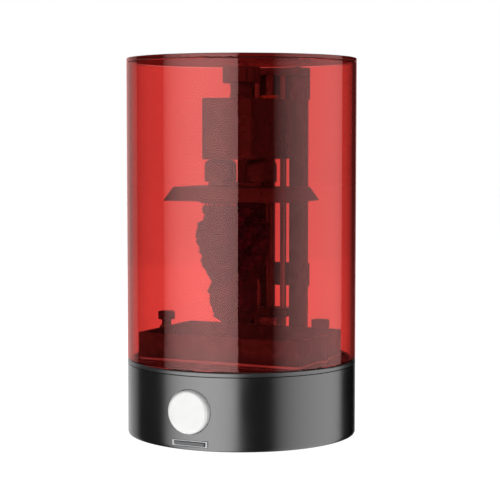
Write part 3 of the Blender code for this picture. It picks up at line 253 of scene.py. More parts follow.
@dataclass(frozen=True)
class Finish:
    """A surface finish: colour with slow variation, worked grain, specks and relief."""

    name: str
    slot: str
    colour: Colour
    second: Colour
    roughness: float
    spread: float = 0.08
    metallic: float = 0.0
    ior: float = 1.5
    coat: float = 0.0
    patch: float = 0.012
    grain: float = 0.0004
    depth: float = 0.00001
    way: Direction = Direction.NONE
    specks: float = 0.0

    def material(self) -> bpy.types.Material:
        """Return this finish's material, made once."""
        return bpy.data.materials.get(self.name) or self.make()

    def make(self) -> bpy.types.Material:
        """Build the material's sheet."""
        sheet = Sheet(self.name)
        slow = sheet.grain(self.patch, 4.0)
        fine = sheet.grain(self.grain, 3.0, self.way)
        tone = slow.span(0.35, 0.65, 0.0, 0.65) + fine.span(0.3, 0.7, 0.0, 0.35)
        colour = sheet.blend(self.colour, self.second, tone)
        if self.specks:
            dust = sheet.cells(self.grain * 9).span(0.0, 0.16, self.specks, 0.0)
            colour = sheet.blend(colour, tuple(min(1.0, 0.25 + 2.2 * part) for part in self.second), dust)
        rough = slow.span(0.3, 0.7, self.roughness - self.spread / 2, self.roughness + self.spread / 2)
        rough = rough + (fine - 0.5) * (self.spread * 0.6)
        inputs = {
            "Base Color": colour,
            "Roughness": rough,
            "Metallic": self.metallic,
            "IOR": self.ior,
            "Coat Weight": self.coat,
            "Coat Roughness": 0.08,
            "Normal": sheet.relief(fine + slow * 0.5, self.depth),
        }
        return sheet.show(sheet.node("ShaderNodeBsdfPrincipled", None, inputs))


@dataclass(frozen=True)
class ClearFinish:
    """A see-through finish that lamps shine through, tinted, with faint wipe marks."""

    name: str
    slot: str
    tint: Colour
    light: Colour
    roughness: float = 0.0
    ior: float = 1.49
    waviness: float = 0.000004
    wave: float = 0.05

    def material(self) -> bpy.types.Material:
        """Return this finish's material, made once."""
        return bpy.data.materials.get(self.name) or self.make()

    def make(self) -> bpy.types.Material:
        """Build the material's sheet."""
        sheet = Sheet(self.name)
        wipes = sheet.grain(0.004, 4.0, Direction.ALONG_Z)
        waves = sheet.grain(self.wave, 2.0)
        deeper = tuple(part * 0.97 for part in self.tint)
        inputs = {
            "Color": sheet.blend(self.tint, deeper, waves.span(0.3, 0.7, 0.0, 1.0)),
            "Roughness": wipes.span(0.5, 0.8, self.roughness, self.roughness + 0.03),
            "IOR": self.ior,
            "Normal": sheet.relief(waves + wipes * 0.01, self.waviness),
        }
        glass = sheet.node("ShaderNodeBsdfGlass", {"distribution": "MULTI_GGX"}, inputs)
        through = sheet.node("ShaderNodeBsdfTransparent", None, {"Color": self.light})
        lamp = sheet.node("ShaderNodeLightPath").outputs["Is Shadow Ray"]
        return sheet.show(sheet.node("ShaderNodeMixShader", None, {0: lamp, 1: glass, 2: through}))


SATIN_BLACK = Finish("satin_black_paint", "satin_black", (0.0045, 0.0046, 0.0048), (0.0065, 0.0066, 0.0069),
                     0.22, 0.04, 0.0, 1.61, 0.0, 0.03, 0.0005, 0.000008, Direction.NONE, 0.03)
TRIM_GREY = Finish("trim_satin_grey", "trim_grey", (0.010, 0.0102, 0.0106), (0.014, 0.0142, 0.0146), 0.28,
                   0.04, 0.0, 1.60, 0.0, 0.03, 0.0005, 0.000003)
BEZEL_GREY = Finish("bezel_satin_grey", "trim_grey", (0.16, 0.162, 0.165), (0.20, 0.202, 0.205), 0.34,
                    0.06, 0.4, 1.5, 0.0, 0.01, 0.0004, 0.000006)
WHITE_KNOB = Finish("white_moulding", "white_plastic", (0.74, 0.74, 0.735), (0.79, 0.79, 0.785), 0.36,
                    0.08, 0.0, 1.5, 0.15, 0.009, 0.0003, 0.000012)
BLACK_MOULDING = Finish("black_moulding", "black_plastic", (0.016, 0.016, 0.018), (0.026, 0.026, 0.028), 0.5,
                        0.12, 0.0, 1.5, 0.0, 0.006, 0.00035, 0.00002)
RUBBER = Finish("foot_rubber", "rubber_black", (0.012, 0.012, 0.012), (0.03, 0.029, 0.028), 0.82,
                0.12, 0.0, 1.45, 0.0, 0.003, 0.0004, 0.00004, Direction.NONE, 0.2)
ANODISED = Finish("blasted_anodised", "black_anodised", (0.018, 0.0182, 0.019), (0.026, 0.0262, 0.027), 0.27,
                  0.10, 0.0, 1.58, 0.0, 0.014, 0.00022, 0.000014, Direction.NONE, 0.08)
STEEL = Finish("ground_steel", "bare_steel", (0.50, 0.51, 0.52), (0.60, 0.61, 0.62), 0.18,
               0.10, 1.0, 1.5, 0.0, 0.02, 0.0002, 0.000006, Direction.AROUND_Z)
BRASS = Finish("turned_brass", "brass", (0.64, 0.45, 0.18), (0.76, 0.57, 0.27), 0.28,
               0.12, 1.0, 1.5, 0.0, 0.006, 0.0002, 0.00001, Direction.AROUND_Z)
MILLED = Finish("milled_aluminium", "bare_aluminium", (0.56, 0.57, 0.58), (0.68, 0.69, 0.70), 0.34,
                0.12, 1.0, 1.5, 0.0, 0.02, 0.00025, 0.000012, Direction.ALONG_X)
TURNED = Finish("turned_aluminium", "bare_aluminium", (0.58, 0.59, 0.60), (0.70, 0.71, 0.72), 0.26,
                0.10, 1.0, 1.5, 0.0, 0.01, 0.0002, 0.00001, Direction.AROUND_Z)
BOARD = Finish("solder_mask", "board_green", (0.012, 0.085, 0.042), (0.03, 0.16, 0.08), 0.38,
               0.12, 0.0, 1.5, 0.3, 0.004, 0.0008, 0.00003, Direction.ALONG_X, 0.3)
CHIP = Finish("chip_resin", "black_plastic", (0.02, 0.02, 0.021), (0.035, 0.035, 0.036), 0.6,
              0.1, 0.0, 1.5, 0.0, 0.002, 0.0002, 0.00001)
GOLD = Finish("gold_contacts", "brass", (0.80, 0.58, 0.22), (0.88, 0.66, 0.30), 0.25,
              0.08, 1.0, 1.5, 0.0, 0.003, 0.0002, 0.000004)
SCREEN = Finish("mask_screen_face", "screen_black", (0.008, 0.008, 0.012), (0.014, 0.014, 0.02), 0.12,
                0.05, 0.0, 1.52, 0.3, 0.01, 0.0003, 0.000003)
BLASTED_PLATE = Finish("blasted_plate", "black_anodised", (0.026, 0.0265, 0.028), (0.038, 0.0385, 0.040),
                       0.29, 0.10, 0.0, 1.5, 0.0, 0.02, 0.00025, 0.000012, Direction.NONE, 0.06)
PRINTED = Finish("cured_resin", "purple_resin", (0.012, 0.005, 0.022), (0.035, 0.012, 0.055), 0.22,
                 0.12, 0.0, 1.52, 0.2, 0.008, 0.0003, 0.00002, Direction.AROUND_Z)
ACRYLIC = ClearFinish("red_acrylic_sheet", "red_acrylic", (0.925, 0.46, 0.44), (0.93, 0.42, 0.40))
GLASS = ClearFinish("clear_glass_plate", "clear_glass", (0.97, 0.99, 0.98), (0.96, 0.98, 0.98), 0.0, 1.5)
FILM = ClearFinish("release_film_sheet", "clear_film", (0.96, 0.97, 0.98), (0.95, 0.96, 0.97), 0.05, 1.35,
                   0.00006, 0.012)


class Shape:
    """A mesh being worked into one piece."""

    def __init__(self) -> None:
        """Start with nothing."""
        self.mesh = bmesh.new()

    @classmethod
    def block(cls, low: Point, high: Point, corner: float = 0.0, edge: float = 0.0) -> "Shape":
        """Make a box with rounded upright edges and then softened rims.

        Args:
            low: its lowest corner.
            high: its highest corner.
            corner: the radius of its upright edges.
            edge: the width of the bevel on all edges left sharp.

        Returns:
            The shape.
        """
        shape = cls()
        low, high = Vector(low), Vector(high)
        place = Matrix.Translation((low + high) / 2) @ Matrix.Diagonal((*(high - low), 1.0))
        bmesh.ops.create_cube(shape.mesh, size=1.0, matrix=place)
        if corner:
            upright = [e for e in shape.mesh.edges if abs(e.verts[0].co.z - e.verts[1].co.z) > 1e-6]
            bmesh.ops.bevel(shape.mesh, geom=upright, offset=corner, segments=6, profile=0.5, affect="EDGES",
                            material=-1)
        return shape.soften(edge) if edge else shape

    @classmethod
    def turned(cls, outline: Sequence[Point], closed: bool = False, steps: int = 96) -> "Shape":
        """Turn a section about the Z axis.

        Args:
            outline: (radius, height) points in order.
            closed: whether the section's last point joins its first.
            steps: how many facets the full turn has.

        Returns:
            The shape.
        """
        shape = cls()
        points = [shape.mesh.verts.new((radius, 0.0, height)) for radius, height in outline]
        pairs = list(zip(points, points[1:])) + ([(points[-1], points[0])] if closed else [])
        edges = [shape.mesh.edges.new(pair) for pair in pairs]
        bmesh.ops.spin(shape.mesh, geom=[*points, *edges], cent=(0, 0, 0), axis=(0, 0, 1), angle=math.tau,
                       steps=steps, use_merge=True)
        bmesh.ops.remove_doubles(shape.mesh, verts=shape.mesh.verts, dist=1e-6)
        bmesh.ops.recalc_face_normals(shape.mesh, faces=shape.mesh.faces)
        return shape

    @classmethod
    def from_node(cls, node: str, edge: float = 0.0) -> "Shape":
        """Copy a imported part's mesh, weld it and soften its edges.

        Args:
            node: the part's name.
            edge: the width of the bevel on its sharp edges.

        Returns:
            The shape.
        """
        shape = cls()
        shape.mesh.from_mesh(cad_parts[node].data)
        bmesh.ops.remove_doubles(shape.mesh, verts=shape.mesh.verts, dist=2e-6)
        bmesh.ops.dissolve_limit(shape.mesh, angle_limit=math.radians(1.5), verts=shape.mesh.verts,
                                 edges=shape.mesh.edges, delimit=set())
        return shape.soften(edge) if edge else shape

    def soften(self, width: float, segments: int = 2) -> "Shape":
        """Bevel every edge sharper than 30 degrees.

        Args:
            width: the bevel's width.
            segments: how many facets round it has.

        Returns:
            This shape.
        """
        sharp = [edge for edge in self.mesh.edges
                 if len(edge.link_faces) == 2 and edge.calc_face_angle(0.0) > math.radians(30)]
        bmesh.ops.bevel(self.mesh, geom=sharp, offset=width, segments=segments, profile=0.5, affect="EDGES",
                        clamp_overlap=True, material=-1)
        return self

    def moved(self, place: Union[Point, Matrix]) -> "Shape":
        """Move by a vector or a matrix and return this shape."""
        matrix = place if isinstance(place, Matrix) else Matrix.Translation(Vector(place))
        bmesh.ops.transform(self.mesh, matrix=matrix, verts=self.mesh.verts)
        return self

    def add(self, other: "Shape", material: int = 0) -> "Shape":
        """Take in another shape, with its own material slot, and return this one."""
        for face in other.mesh.faces:
            face.material_index = material
        data = bpy.data.meshes.new("joined")
        other.mesh.to_mesh(data)
        other.mesh.free()
        self.mesh.from_mesh(data)
        bpy.data.meshes.remove(data)
        return self

    def reshaped(self, rule: Callable[[Vector], Vector]) -> "Shape":
        """Move every point by a rule and return this shape."""
        for vert in self.mesh.verts:
            vert.co = rule(vert.co)
        return self

    def cut(self, *cutters: "Shape") -> "Shape":
        """Cut other shapes out of this one.

        Args:
            *cutters: the shapes to remove, used up by the cut.

        Returns:
            This shape.
        """
        helpers = [self.as_object("cut_base"), *[cutter.as_object("cutter") for cutter in cutters]]
        for helper in helpers[1:]:
            boolean = helpers[0].modifiers.new("cut", "BOOLEAN")
            boolean.operation, boolean.solver, boolean.object = "DIFFERENCE", "EXACT", helper
        graph = bpy.context.evaluated_depsgraph_get()
        result = bpy.data.meshes.new_from_object(helpers[0].evaluated_get(graph))
        self.mesh = bmesh.new()
        self.mesh.from_mesh(result)
        bpy.data.meshes.remove(result)
        for helper in helpers:
            data = helper.data
            bpy.data.objects.remove(helper)
            bpy.data.meshes.remove(data)
        return self

    def as_object(self, name: str) -> bpy.types.Object:
        """Turn the worked mesh into an object, smooth except at its sharp edges."""
        bmesh.ops.recalc_face_normals(self.mesh, faces=self.mesh.faces)
        data = bpy.data.meshes.new(name)
        self.mesh.to_mesh(data)
        self.mesh.free()
        data.shade_smooth()
        data.set_sharp_from_angle(angle=math.radians(32))
        piece = bpy.data.objects.new(name, data)
        bpy.context.scene.collection.objects.link(piece)
        return piece

    def dress(self, name: str, body: str, finishes: Any, *stands_for: str) -> bpy.types.Object:
        """Finish the piece and fix it to its body.

        Args:
            name: the piece's name.
            body: the body that it moves with.
            finishes: one finish, or one for each material slot.
            *stands_for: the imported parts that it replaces.

        Returns:
            The finished object.
        """
        piece = self.as_object(name)
        several = finishes if isinstance(finishes, (list, tuple)) else [finishes]
        for finish in several:
            piece.data.materials.append(finish.material())
        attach(piece, body)
        if stands_for:
            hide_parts(*stands_for)
        LOG.info("%s rides on %s with %d faces", name, body, len(piece.data.polygons))
        return piece


def facing(direction: str) -> Matrix:
    """Return the turn that takes +Z to a named direction: front, back, left or right."""
    turns = {"front": ("X", 90), "back": ("X", -90), "left": ("Y", -90), "right": ("Y", 90)}
    axis, angle = turns[direction]
    return Matrix.Rotation(math.radians(angle), 4, axis)


def rounded(radius: float, height: float, low: float, edge: float, steps: int = 4) -> List[Point]:
    """Return the outer half-section of a disc with a rounded top rim.

    Args:
        radius: the disc's radius.
        height: the disc's top.
        low: the disc's bottom.
        edge: the rim's radius.
        steps: the facets in the rim.

    Returns:
        (radius, height) points from the top's middle to the bottom's middle.
    """
    arc = [(radius - edge + edge * math.sin(step * math.pi / 2 / steps),
            height - edge + edge * math.cos(step * math.pi / 2 / steps)) for step in range(steps + 1)]
    return [(0.0, height), *arc, (radius, low), (0.0, low)]


@dataclass
class SocketScrew:
    """A cap screw's head with its six-sided socket, or a flat one."""

    radius: float = 0.0016
    height: float = 0.0011

    def head(self, place: Matrix) -> Shape:
        """Build the head standing along +Z of a place.

        Args:
            place: where the head's underside sits.

        Returns:
            The head.
        """
        key, depth = self.radius * 0.5, self.height * 0.6
        outline = rounded(self.radius, self.height, 0.0, self.radius * 0.18, 3)
        shape = Shape.turned(outline, steps=24)
        recess = Shape()
        bmesh.ops.create_cone(recess.mesh, cap_ends=True, segments=6, radius1=key, radius2=key,
                              depth=2 * depth, matrix=Matrix.Translation((0, 0, self.height)))
        return shape.cut(recess).moved(place)

    def heads(self, places: Sequence[Matrix]) -> Shape:
        """Build one head at each place."""
        whole = Shape()
        for place in places:
            whole.add(self.head(place))
        return whole


def screws(name: str, body: str, places: Sequence[Matrix], finish: Finish = STEEL, radius: float = 0.0016,
           height: float = 0.0011) -> bpy.types.Object:
    """Fit a set of equal cap screws.

    Args:
        name: the set's name.
        body: the body that they hold.
        places: where their heads sit.
        finish: their finish.
        radius: their heads' radius.
        height: their heads' height.

    Returns:
        The screws as one object.
    """
    return SocketScrew(radius, height).heads(places).dress(name, body, finish)


def above(spots: Sequence[Point]) -> List[Matrix]:
    """Return upright places at these points."""
    return [Matrix.Translation(Vector(spot)) for spot in spots]


@dataclass
class Casing:
    """The round base: shell, trim ring, deck, bottom cover and feet."""

    wall: float = 0.0025
    edge: float = 0.0012
    ledge: float = 0.0065
    ledge_thickness: float = 0.0025
    vents: int = 5
    first_vent: float = 38
    vent_step: float = 5
    rows: int = 26
    steps: int = 240

    def build(self) -> None:
        """Build and dress every piece of the casing."""
        self.shell()
        self.trim()
        self.deck()
        self.bottom()

    def shell(self) -> None:
        """Turn the shell in fine rows and cut its openings."""
        low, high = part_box("base_shell")
        radius, inner = high.x, high.x - self.wall
        wall = [(radius, high.z - 0.0002 - (high.z - low.z - self.edge - 0.0002) * row / self.rows)
                for row in range(self.rows + 1)]
        outline = [
            (radius - 0.0003, high.z), *wall, (radius - self.edge * 0.3, low.z + self.edge * 0.3),
            (radius - self.edge, low.z), (inner, low.z), (inner, high.z - self.ledge_thickness),
            (inner - self.ledge, high.z - self.ledge_thickness), (inner - self.ledge, high.z),
        ]
        shape = Shape.turned(outline, True, self.steps)
        shape.cut(*self.openings(radius))
        shape.dress("casing_shell", "base", SATIN_BLACK, "base_shell")

    def openings(self, radius: float) -> List[Shape]:
        """Return the solids that the shell's openings are cut with."""
        knob_low, knob_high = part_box("control_knob")
        knob_radius = (knob_high.x - knob_low.x) / 2 + 0.0005
        height = (knob_low.z + knob_high.z) / 2
        knob = Shape.turned(rounded(knob_radius, 0.01, -0.01, 0.0001), steps=96)
        knob.moved(Matrix.Translation((0, -radius, height)) @ facing("front"))
        low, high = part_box("card_bezel")
        grow = Vector((0.0002, 0.01, 0.0002))
        slot = Shape.block(low - grow, high + grow)
        inlet_low, inlet_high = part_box("power_inlet")
        inlet = Shape.turned(rounded(0.0057, 0.01, -0.01, 0.0001), steps=48)
        inlet.moved(Matrix.Translation((0, radius, (inlet_low.z + inlet_high.z) / 2)) @ facing("back"))
        vents = [self.vent(radius, side * math.radians(self.first_vent + self.vent_step * index))
                 for side in (-1, 1) for index in range(self.vents)]
        return [knob, slot, inlet, *vents]

    def vent(self, radius: float, around: float) -> Shape:
        """Return one upright air slot's cutter with round ends."""
        half_width, half_height, middle = 0.0015, 0.011, 0.0265
        shape = Shape.block((-half_width, -0.006, -half_height), (half_width, 0.006, half_height))
        ends = [e for e in shape.mesh.edges if abs(e.verts[0].co.y - e.verts[1].co.y) > 0.005]
        bmesh.ops.bevel(shape.mesh, geom=ends, offset=half_width * 0.95, segments=5, profile=0.5,
                        affect="EDGES", material=-1)
        return shape.moved(Matrix.Rotation(around, 4, "Z") @ Matrix.Translation((0, radius, middle)))

    def trim(self) -> None:
        """Turn the trim ring with its chamfer and a fine break on each edge."""
        low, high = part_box("trim_ring")
        radius, chamfer, width, fine = high.x, 0.0009, 0.0048, 0.00012
        outline = [
            (radius - chamfer - fine, high.z), (radius - chamfer, high.z - fine * 0.4),
            (radius - fine * 0.4, high.z - chamfer), (radius, high.z - chamfer - fine),
            (radius, low.z + fine), (radius - fine, low.z), (radius - width, low.z), (radius - width, high.z),
        ]
        Shape.turned(outline, True, self.steps).dress("trim_band", "base", TRIM_GREY, "trim_ring")

    def deck(self) -> None:
        """Soften the deck's edges and add the screws that hold it down."""
        Shape.from_node("deck_plate", 0.00025).dress("deck_top", "base", ANODISED, "deck_plate")
        top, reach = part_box("deck_plate")[1].z, 0.0745
        spots = [(reach * math.cos(angle), reach * math.sin(angle), top)
                 for angle in (math.radians(turn) for turn in (-62, -118, 50, 130))]
        screws("deck_screws", "base", above(spots), ANODISED, 0.0018, 0.0006)

    def bottom(self) -> None:
        """Build the bottom cover with its screws, and the four grooved feet."""
        Shape.from_node("bottom_cover", 0.0002).dress("bottom_sheet", "base", SATIN_BLACK, "bottom_cover")
        under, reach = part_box("bottom_cover")[0].z, 0.070
        turn = Matrix.Rotation(math.pi, 4, "X")
        places = [Matrix.Translation((reach * math.cos(angle), reach * math.sin(angle), under)) @ turn
                  for angle in (math.radians(step * 90) for step in range(4))]
        screws("bottom_screws", "base", places, STEEL, 0.0024, 0.0005)
        for name in ("foot_front_left", "foot_front_right", "foot_rear_left", "foot_rear_right"):
            self.foot(name)

    def foot(self, name: str) -> None:
        """Turn one rubber foot with a rounded rim and shallow rings."""
        low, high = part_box(name)
        radius, middle = (high.x - low.x) / 2, (low + high) / 2
        outline = [(0, high.z), (radius, high.z), (radius, low.z + 0.0003), (radius - 0.0003, low.z)]
        for ring in range(3):
            outer = radius - 0.0012 - ring * 0.0018
            outline += [(outer, low.z), (outer - 0.0002, low.z + 0.0002), (outer - 0.0007, low.z + 0.0002),
                        (outer - 0.0009, low.z)]
        outline.append((0, low.z))
        pad = Shape.turned(outline, steps=64).moved((middle.x, middle.y, 0))
        pad.dress(f"{name}_pad", "base", RUBBER, name)


@dataclass
class Knob:
    """The white turn-and-press knob with its encoder."""

    wall: float = 0.002
    edge: float = 0.0022

    def build(self) -> None:
        """Build the knob, its shaft, plunger and encoder."""
        low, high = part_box("control_knob")
        radius, depth, middle = (high.x - low.x) / 2, high.y - low.y, (low + high) / 2
        rounding = [(radius - self.edge + self.edge * math.sin(step * math.pi / 16),
                     depth - self.edge + self.edge * math.cos(step * math.pi / 16)) for step in range(9)]
        outline = [
            (0, depth - 0.00018), (radius * 0.5, depth - 0.0001), *rounding, (radius, 0.0003),
            (radius - 0.0003, 0), (radius - self.wall, 0), (radius - self.wall, depth - 1.5 * self.wall),
            (0.0052, depth - 1.5 * self.wall), (0.0052, 0), (0.0032, 0), (0.0032, depth - self.wall),
            (0, depth - self.wall),
        ]
        place = Matrix.Translation((middle.x, high.y, middle.z)) @ facing("front")
        Shape.turned(outline, steps=128).moved(place).dress("turn_knob", "knob", WHITE_KNOB, "control_knob")
        Shape.from_node("encoder_shaft", 0.0003).dress("knob_shaft", "knob", TURNED, "encoder_shaft")
        Shape.from_node("encoder_plunger", 0.0002).dress("press_button", "knob_plunger", BLACK_MOULDING,
                                                         "encoder_plunger")
        self.encoder()

    def encoder(self) -> None:
        """Build the encoder's housing with its clamp plate and pins, on its small board."""
        housing = Shape.from_node("encoder_body", 0.0002)
        housing.dress("encoder_housing", "base", BLACK_MOULDING, "encoder_body")
        low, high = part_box("encoder_body")
        body_front = high.y - 0.0065
        plate = Shape.block((low.x - 0.0003, body_front + 0.0016, low.z - 0.0003),
                            (high.x + 0.0003, body_front + 0.0022, high.z + 0.0003), 0.0, 0.0001)
        plate.dress("encoder_clamp", "base", STEEL)
        board = Shape.block((-0.0125, high.y + 0.0028, low.z - 0.004),
                            (0.0125, high.y + 0.0044, high.z + 0.004), 0.0, 0.0001)
        for step in range(5):
            board.add(Shape.block((-0.0051 + step * 0.0025, high.y - 0.0002, low.z - 0.0016),
                                  (-0.0045 + step * 0.0025, high.y + 0.0052, low.z - 0.0010)), 1)
        board.dress("encoder_board", "base", [BOARD, GOLD])


@dataclass
class CardReader:
    """The card slot's bezel, the socket behind it and the card."""

    def build(self) -> None:
        """Build the bezel, the socket and the card."""
        Shape.from_node("card_bezel", 0.00022).dress("slot_bezel", "base", BEZEL_GREY, "card_bezel")
        Shape.from_node("card_socket", 0.0002).dress("socket_shell", "base", MILLED, "card_socket")
        self.card()

    def card(self) -> None:
        """Build the card with its grip ridges and gold contacts."""
        low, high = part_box("memory_card")
        card = Shape.block(low, high, 0.0006, 0.00018)
        for step in range(4):
            y = low.y + 0.0024 + step * 0.0011
            card.add(Shape.block((low.x + 0.004, y, high.z - 0.00005),
                                 (high.x - 0.004, y + 0.0005, high.z + 0.00012), 0.0, 0.00004))
        for step in range(8):
            x = low.x + 0.0028 + step * 0.0024
            contact = Shape.block((x, high.y - 0.0052, low.z - 0.00004),
                                  (x + 0.0015, high.y - 0.0008, low.z + 0.0001))
            card.add(contact, 1)
        card.dress("storage_card", "memory_card", [BLACK_MOULDING, GOLD], "memory_card")


@dataclass
class Electronics:
    """The main board with its parts, the power inlet and the lift's home sensor."""

    def build(self) -> None:
        """Build the board, the inlet and the sensor."""
        self.board()
        self.inlet()
        self.sensor()

    def board(self) -> None:
        """Build the main board with chips, capacitors, sockets and the driver's finned heat sink."""
        low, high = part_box("main_board")
        board = Shape.from_node("main_board", 0.00015)
        chips = ((-0.024, 0.010, 0.010, 0.0012), (-0.008, 0.012, 0.007, 0.001), (0.020, 0.026, 0.008, 0.0012),
                 (-0.026, 0.030, 0.005, 0.001))
        for x, y, size, height in chips:
            chip = Shape.block((x, low.y + y, high.z), (x + size, low.y + y + size, high.z + height), 0.0,
                               0.0001)
            board.add(chip, 1)
        for x, y in ((-0.033, 0.006), (-0.033, 0.014), (0.031, 0.012), (0.031, 0.020)):
            can = Shape.turned(rounded(0.0028, 0.0062, 0.0, 0.0004), steps=32)
            board.add(can.moved((x, low.y + y, high.z)), 2)
        for step in range(7):
            y = low.y + 0.006 + step * 0.0014
            fin = Shape.block((0.008, y, high.z + 0.0016), (0.0165, y + 0.0006, high.z + 0.008), 0.0, 0.0001)
            board.add(fin, 2)
        board.add(Shape.block((0.008, low.y + 0.006, high.z), (0.0165, low.y + 0.015, high.z + 0.0018)), 2)
        for x in (-0.018, -0.006, 0.006, 0.018):
            plug = Shape.block((x, high.y - 0.006, high.z), (x + 0.008, high.y - 0.001, high.z + 0.005), 0.0,
                               0.0002)
            board.add(plug, 1)
        board.dress("control_board", "base", [BOARD, CHIP, TURNED], "main_board")

    def inlet(self) -> None:
        """Turn the round power inlet with its centre pin."""
        low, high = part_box("power_inlet")
        middle, length = (low + high) / 2, high.y - low.y
        rim = 0.0005
        outline = [
            (0, length - 0.0022), (0.0006, length - 0.0021), (0.001, length - 0.0026), (0.001, 0.003),
            (0.0029, 0.003), (0.0029, length - 0.0003), (0.0032, length), (0.0065 - rim, length),
            (0.0065, length - rim), (0.0065, length - 0.001), (0.0054, length - 0.001), (0.0054, 0), (0, 0),
        ]
        place = Matrix.Translation((middle.x, low.y, middle.z)) @ facing("back")
        shape = Shape.turned(outline, steps=64).moved(place)
        shape.dress("inlet_socket", "base", BLACK_MOULDING, "power_inlet")

    def sensor(self) -> None:
        """Build the home sensor: a small board with a slotted light gate on the tower's back."""
        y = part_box("tower_back")[0].y - 0.0004
        sensor = Shape.block((-0.0153, y - 0.0010, 0.0900), (-0.0085, y, 0.1060), 0.0, 0.0001)
        for height in (0.0950, 0.1000):
            jaw = Shape.block((-0.0148, y - 0.0030, height), (-0.0090, y - 0.0010, height + 0.0022), 0.0,
                              0.0002)
            sensor.add(jaw, 1)
        sensor.dress("home_sensor", "base", [BOARD, BLACK_MOULDING])


@dataclass
class LightEngine:
    """The lamp under the screen: heat sink, lamp board, lens, shroud, mask screen and glass."""

    def build(self) -> None:
        """Build every piece of the light source."""
        Shape.from_node("lamp_heat_sink", 0.0002).dress("heat_sink", "base", MILLED, "lamp_heat_sink")
        low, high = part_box("lamp_board")
        board = Shape.from_node("lamp_board", 0.00015)
        lamp = (low + high) / 2
        for row in range(-1, 2):
            for column in range(-1, 2):
                at = Vector((lamp.x + 0.0043 * column, lamp.y + 0.0043 * row, high.z))
                die = Shape.block(at - Vector((0.0016, 0.0016, 0)), at + Vector((0.0016, 0.0016, 0.00025)))
                board.add(die, 1)
        board.dress("lamp_circuit", "base", [BOARD, GOLD], "lamp_board")
        self.lens()
        Shape.from_node("light_shroud").dress("light_funnel", "base", BLACK_MOULDING, "light_shroud")
        Shape.from_node("mask_screen", 0.0002).dress("mask_panel", "base", SCREEN, "mask_screen")
        Shape.from_node("screen_glass", 0.0003).dress("cover_glass", "base", GLASS, "screen_glass")

    def lens(self) -> None:
        """Turn the lamp's domed lens."""
        low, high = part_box("lamp_lens")
        radius, height, middle = (high.x - low.x) / 2, high.z - low.z, (low + high) / 2
        dome = [(radius * math.sin(step * math.pi / 40), height * (0.3 + 0.7 * math.cos(step * math.pi / 40)))
                for step in range(21)]
        shape = Shape.turned([*dome, (radius, 0), (0, 0)], steps=96).moved((middle.x, middle.y, low.z))
        shape.dress("lamp_dome", "base", GLASS, "lamp_lens")


@dataclass
class Fan:
    """The cooling fan."""

    blades: int = 7

    def build(self) -> None:
        """Build the frame with its corner holes and the rotor with curved blades."""
        low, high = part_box("fan_frame")
        middle = (low + high) / 2
        holes = []
        for x in (-1, 1):
            for y in (-1, 1):
                hole = Shape.turned(rounded(0.0015, high.z + 0.002, low.z - 0.002, 0.0001), steps=24)
                holes.append(hole.moved((middle.x + x * 0.0168, middle.y + y * 0.0168, 0)))
        housing = Shape.from_node("fan_frame", 0.0002).cut(*holes)
        housing.dress("fan_housing", "base", BLACK_MOULDING, "fan_frame")
        self.rotor()

    def rotor(self) -> None:
        """Turn the hub and bend a blade for each place round it."""
        low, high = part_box("fan_rotor")
        middle, tip = (low + high) / 2, (high.x - low.x) / 2
        hub = 0.008
        rotor = Shape.turned(rounded(hub, high.z, low.z, 0.0006), steps=64)
        for index in range(self.blades):
            blade = Shape.block((hub - 0.0008, -0.0005, 0.0), (tip - 0.0006, 0.0005, 1.0))
            bmesh.ops.subdivide_edges(blade.mesh, edges=blade.mesh.edges[:], cuts=6, use_grid_fill=True)
            blade.reshaped(lambda co: Vector((co.x, co.y + (co.z - 0.5) * 0.0066 * (1 + 12 * (co.x - hub))
                                              + 0.0016 * math.sin(co.z * math.pi), low.z + 0.0006
                                              + co.z * (high.z - low.z - 0.0012))))
            rotor.add(blade.moved(Matrix.Rotation(index * math.tau / self.blades, 4, "Z")))
        rotor.moved((middle.x, middle.y, 0)).dress("fan_wheel", "fan_rotor", BLACK_MOULDING, "fan_rotor")


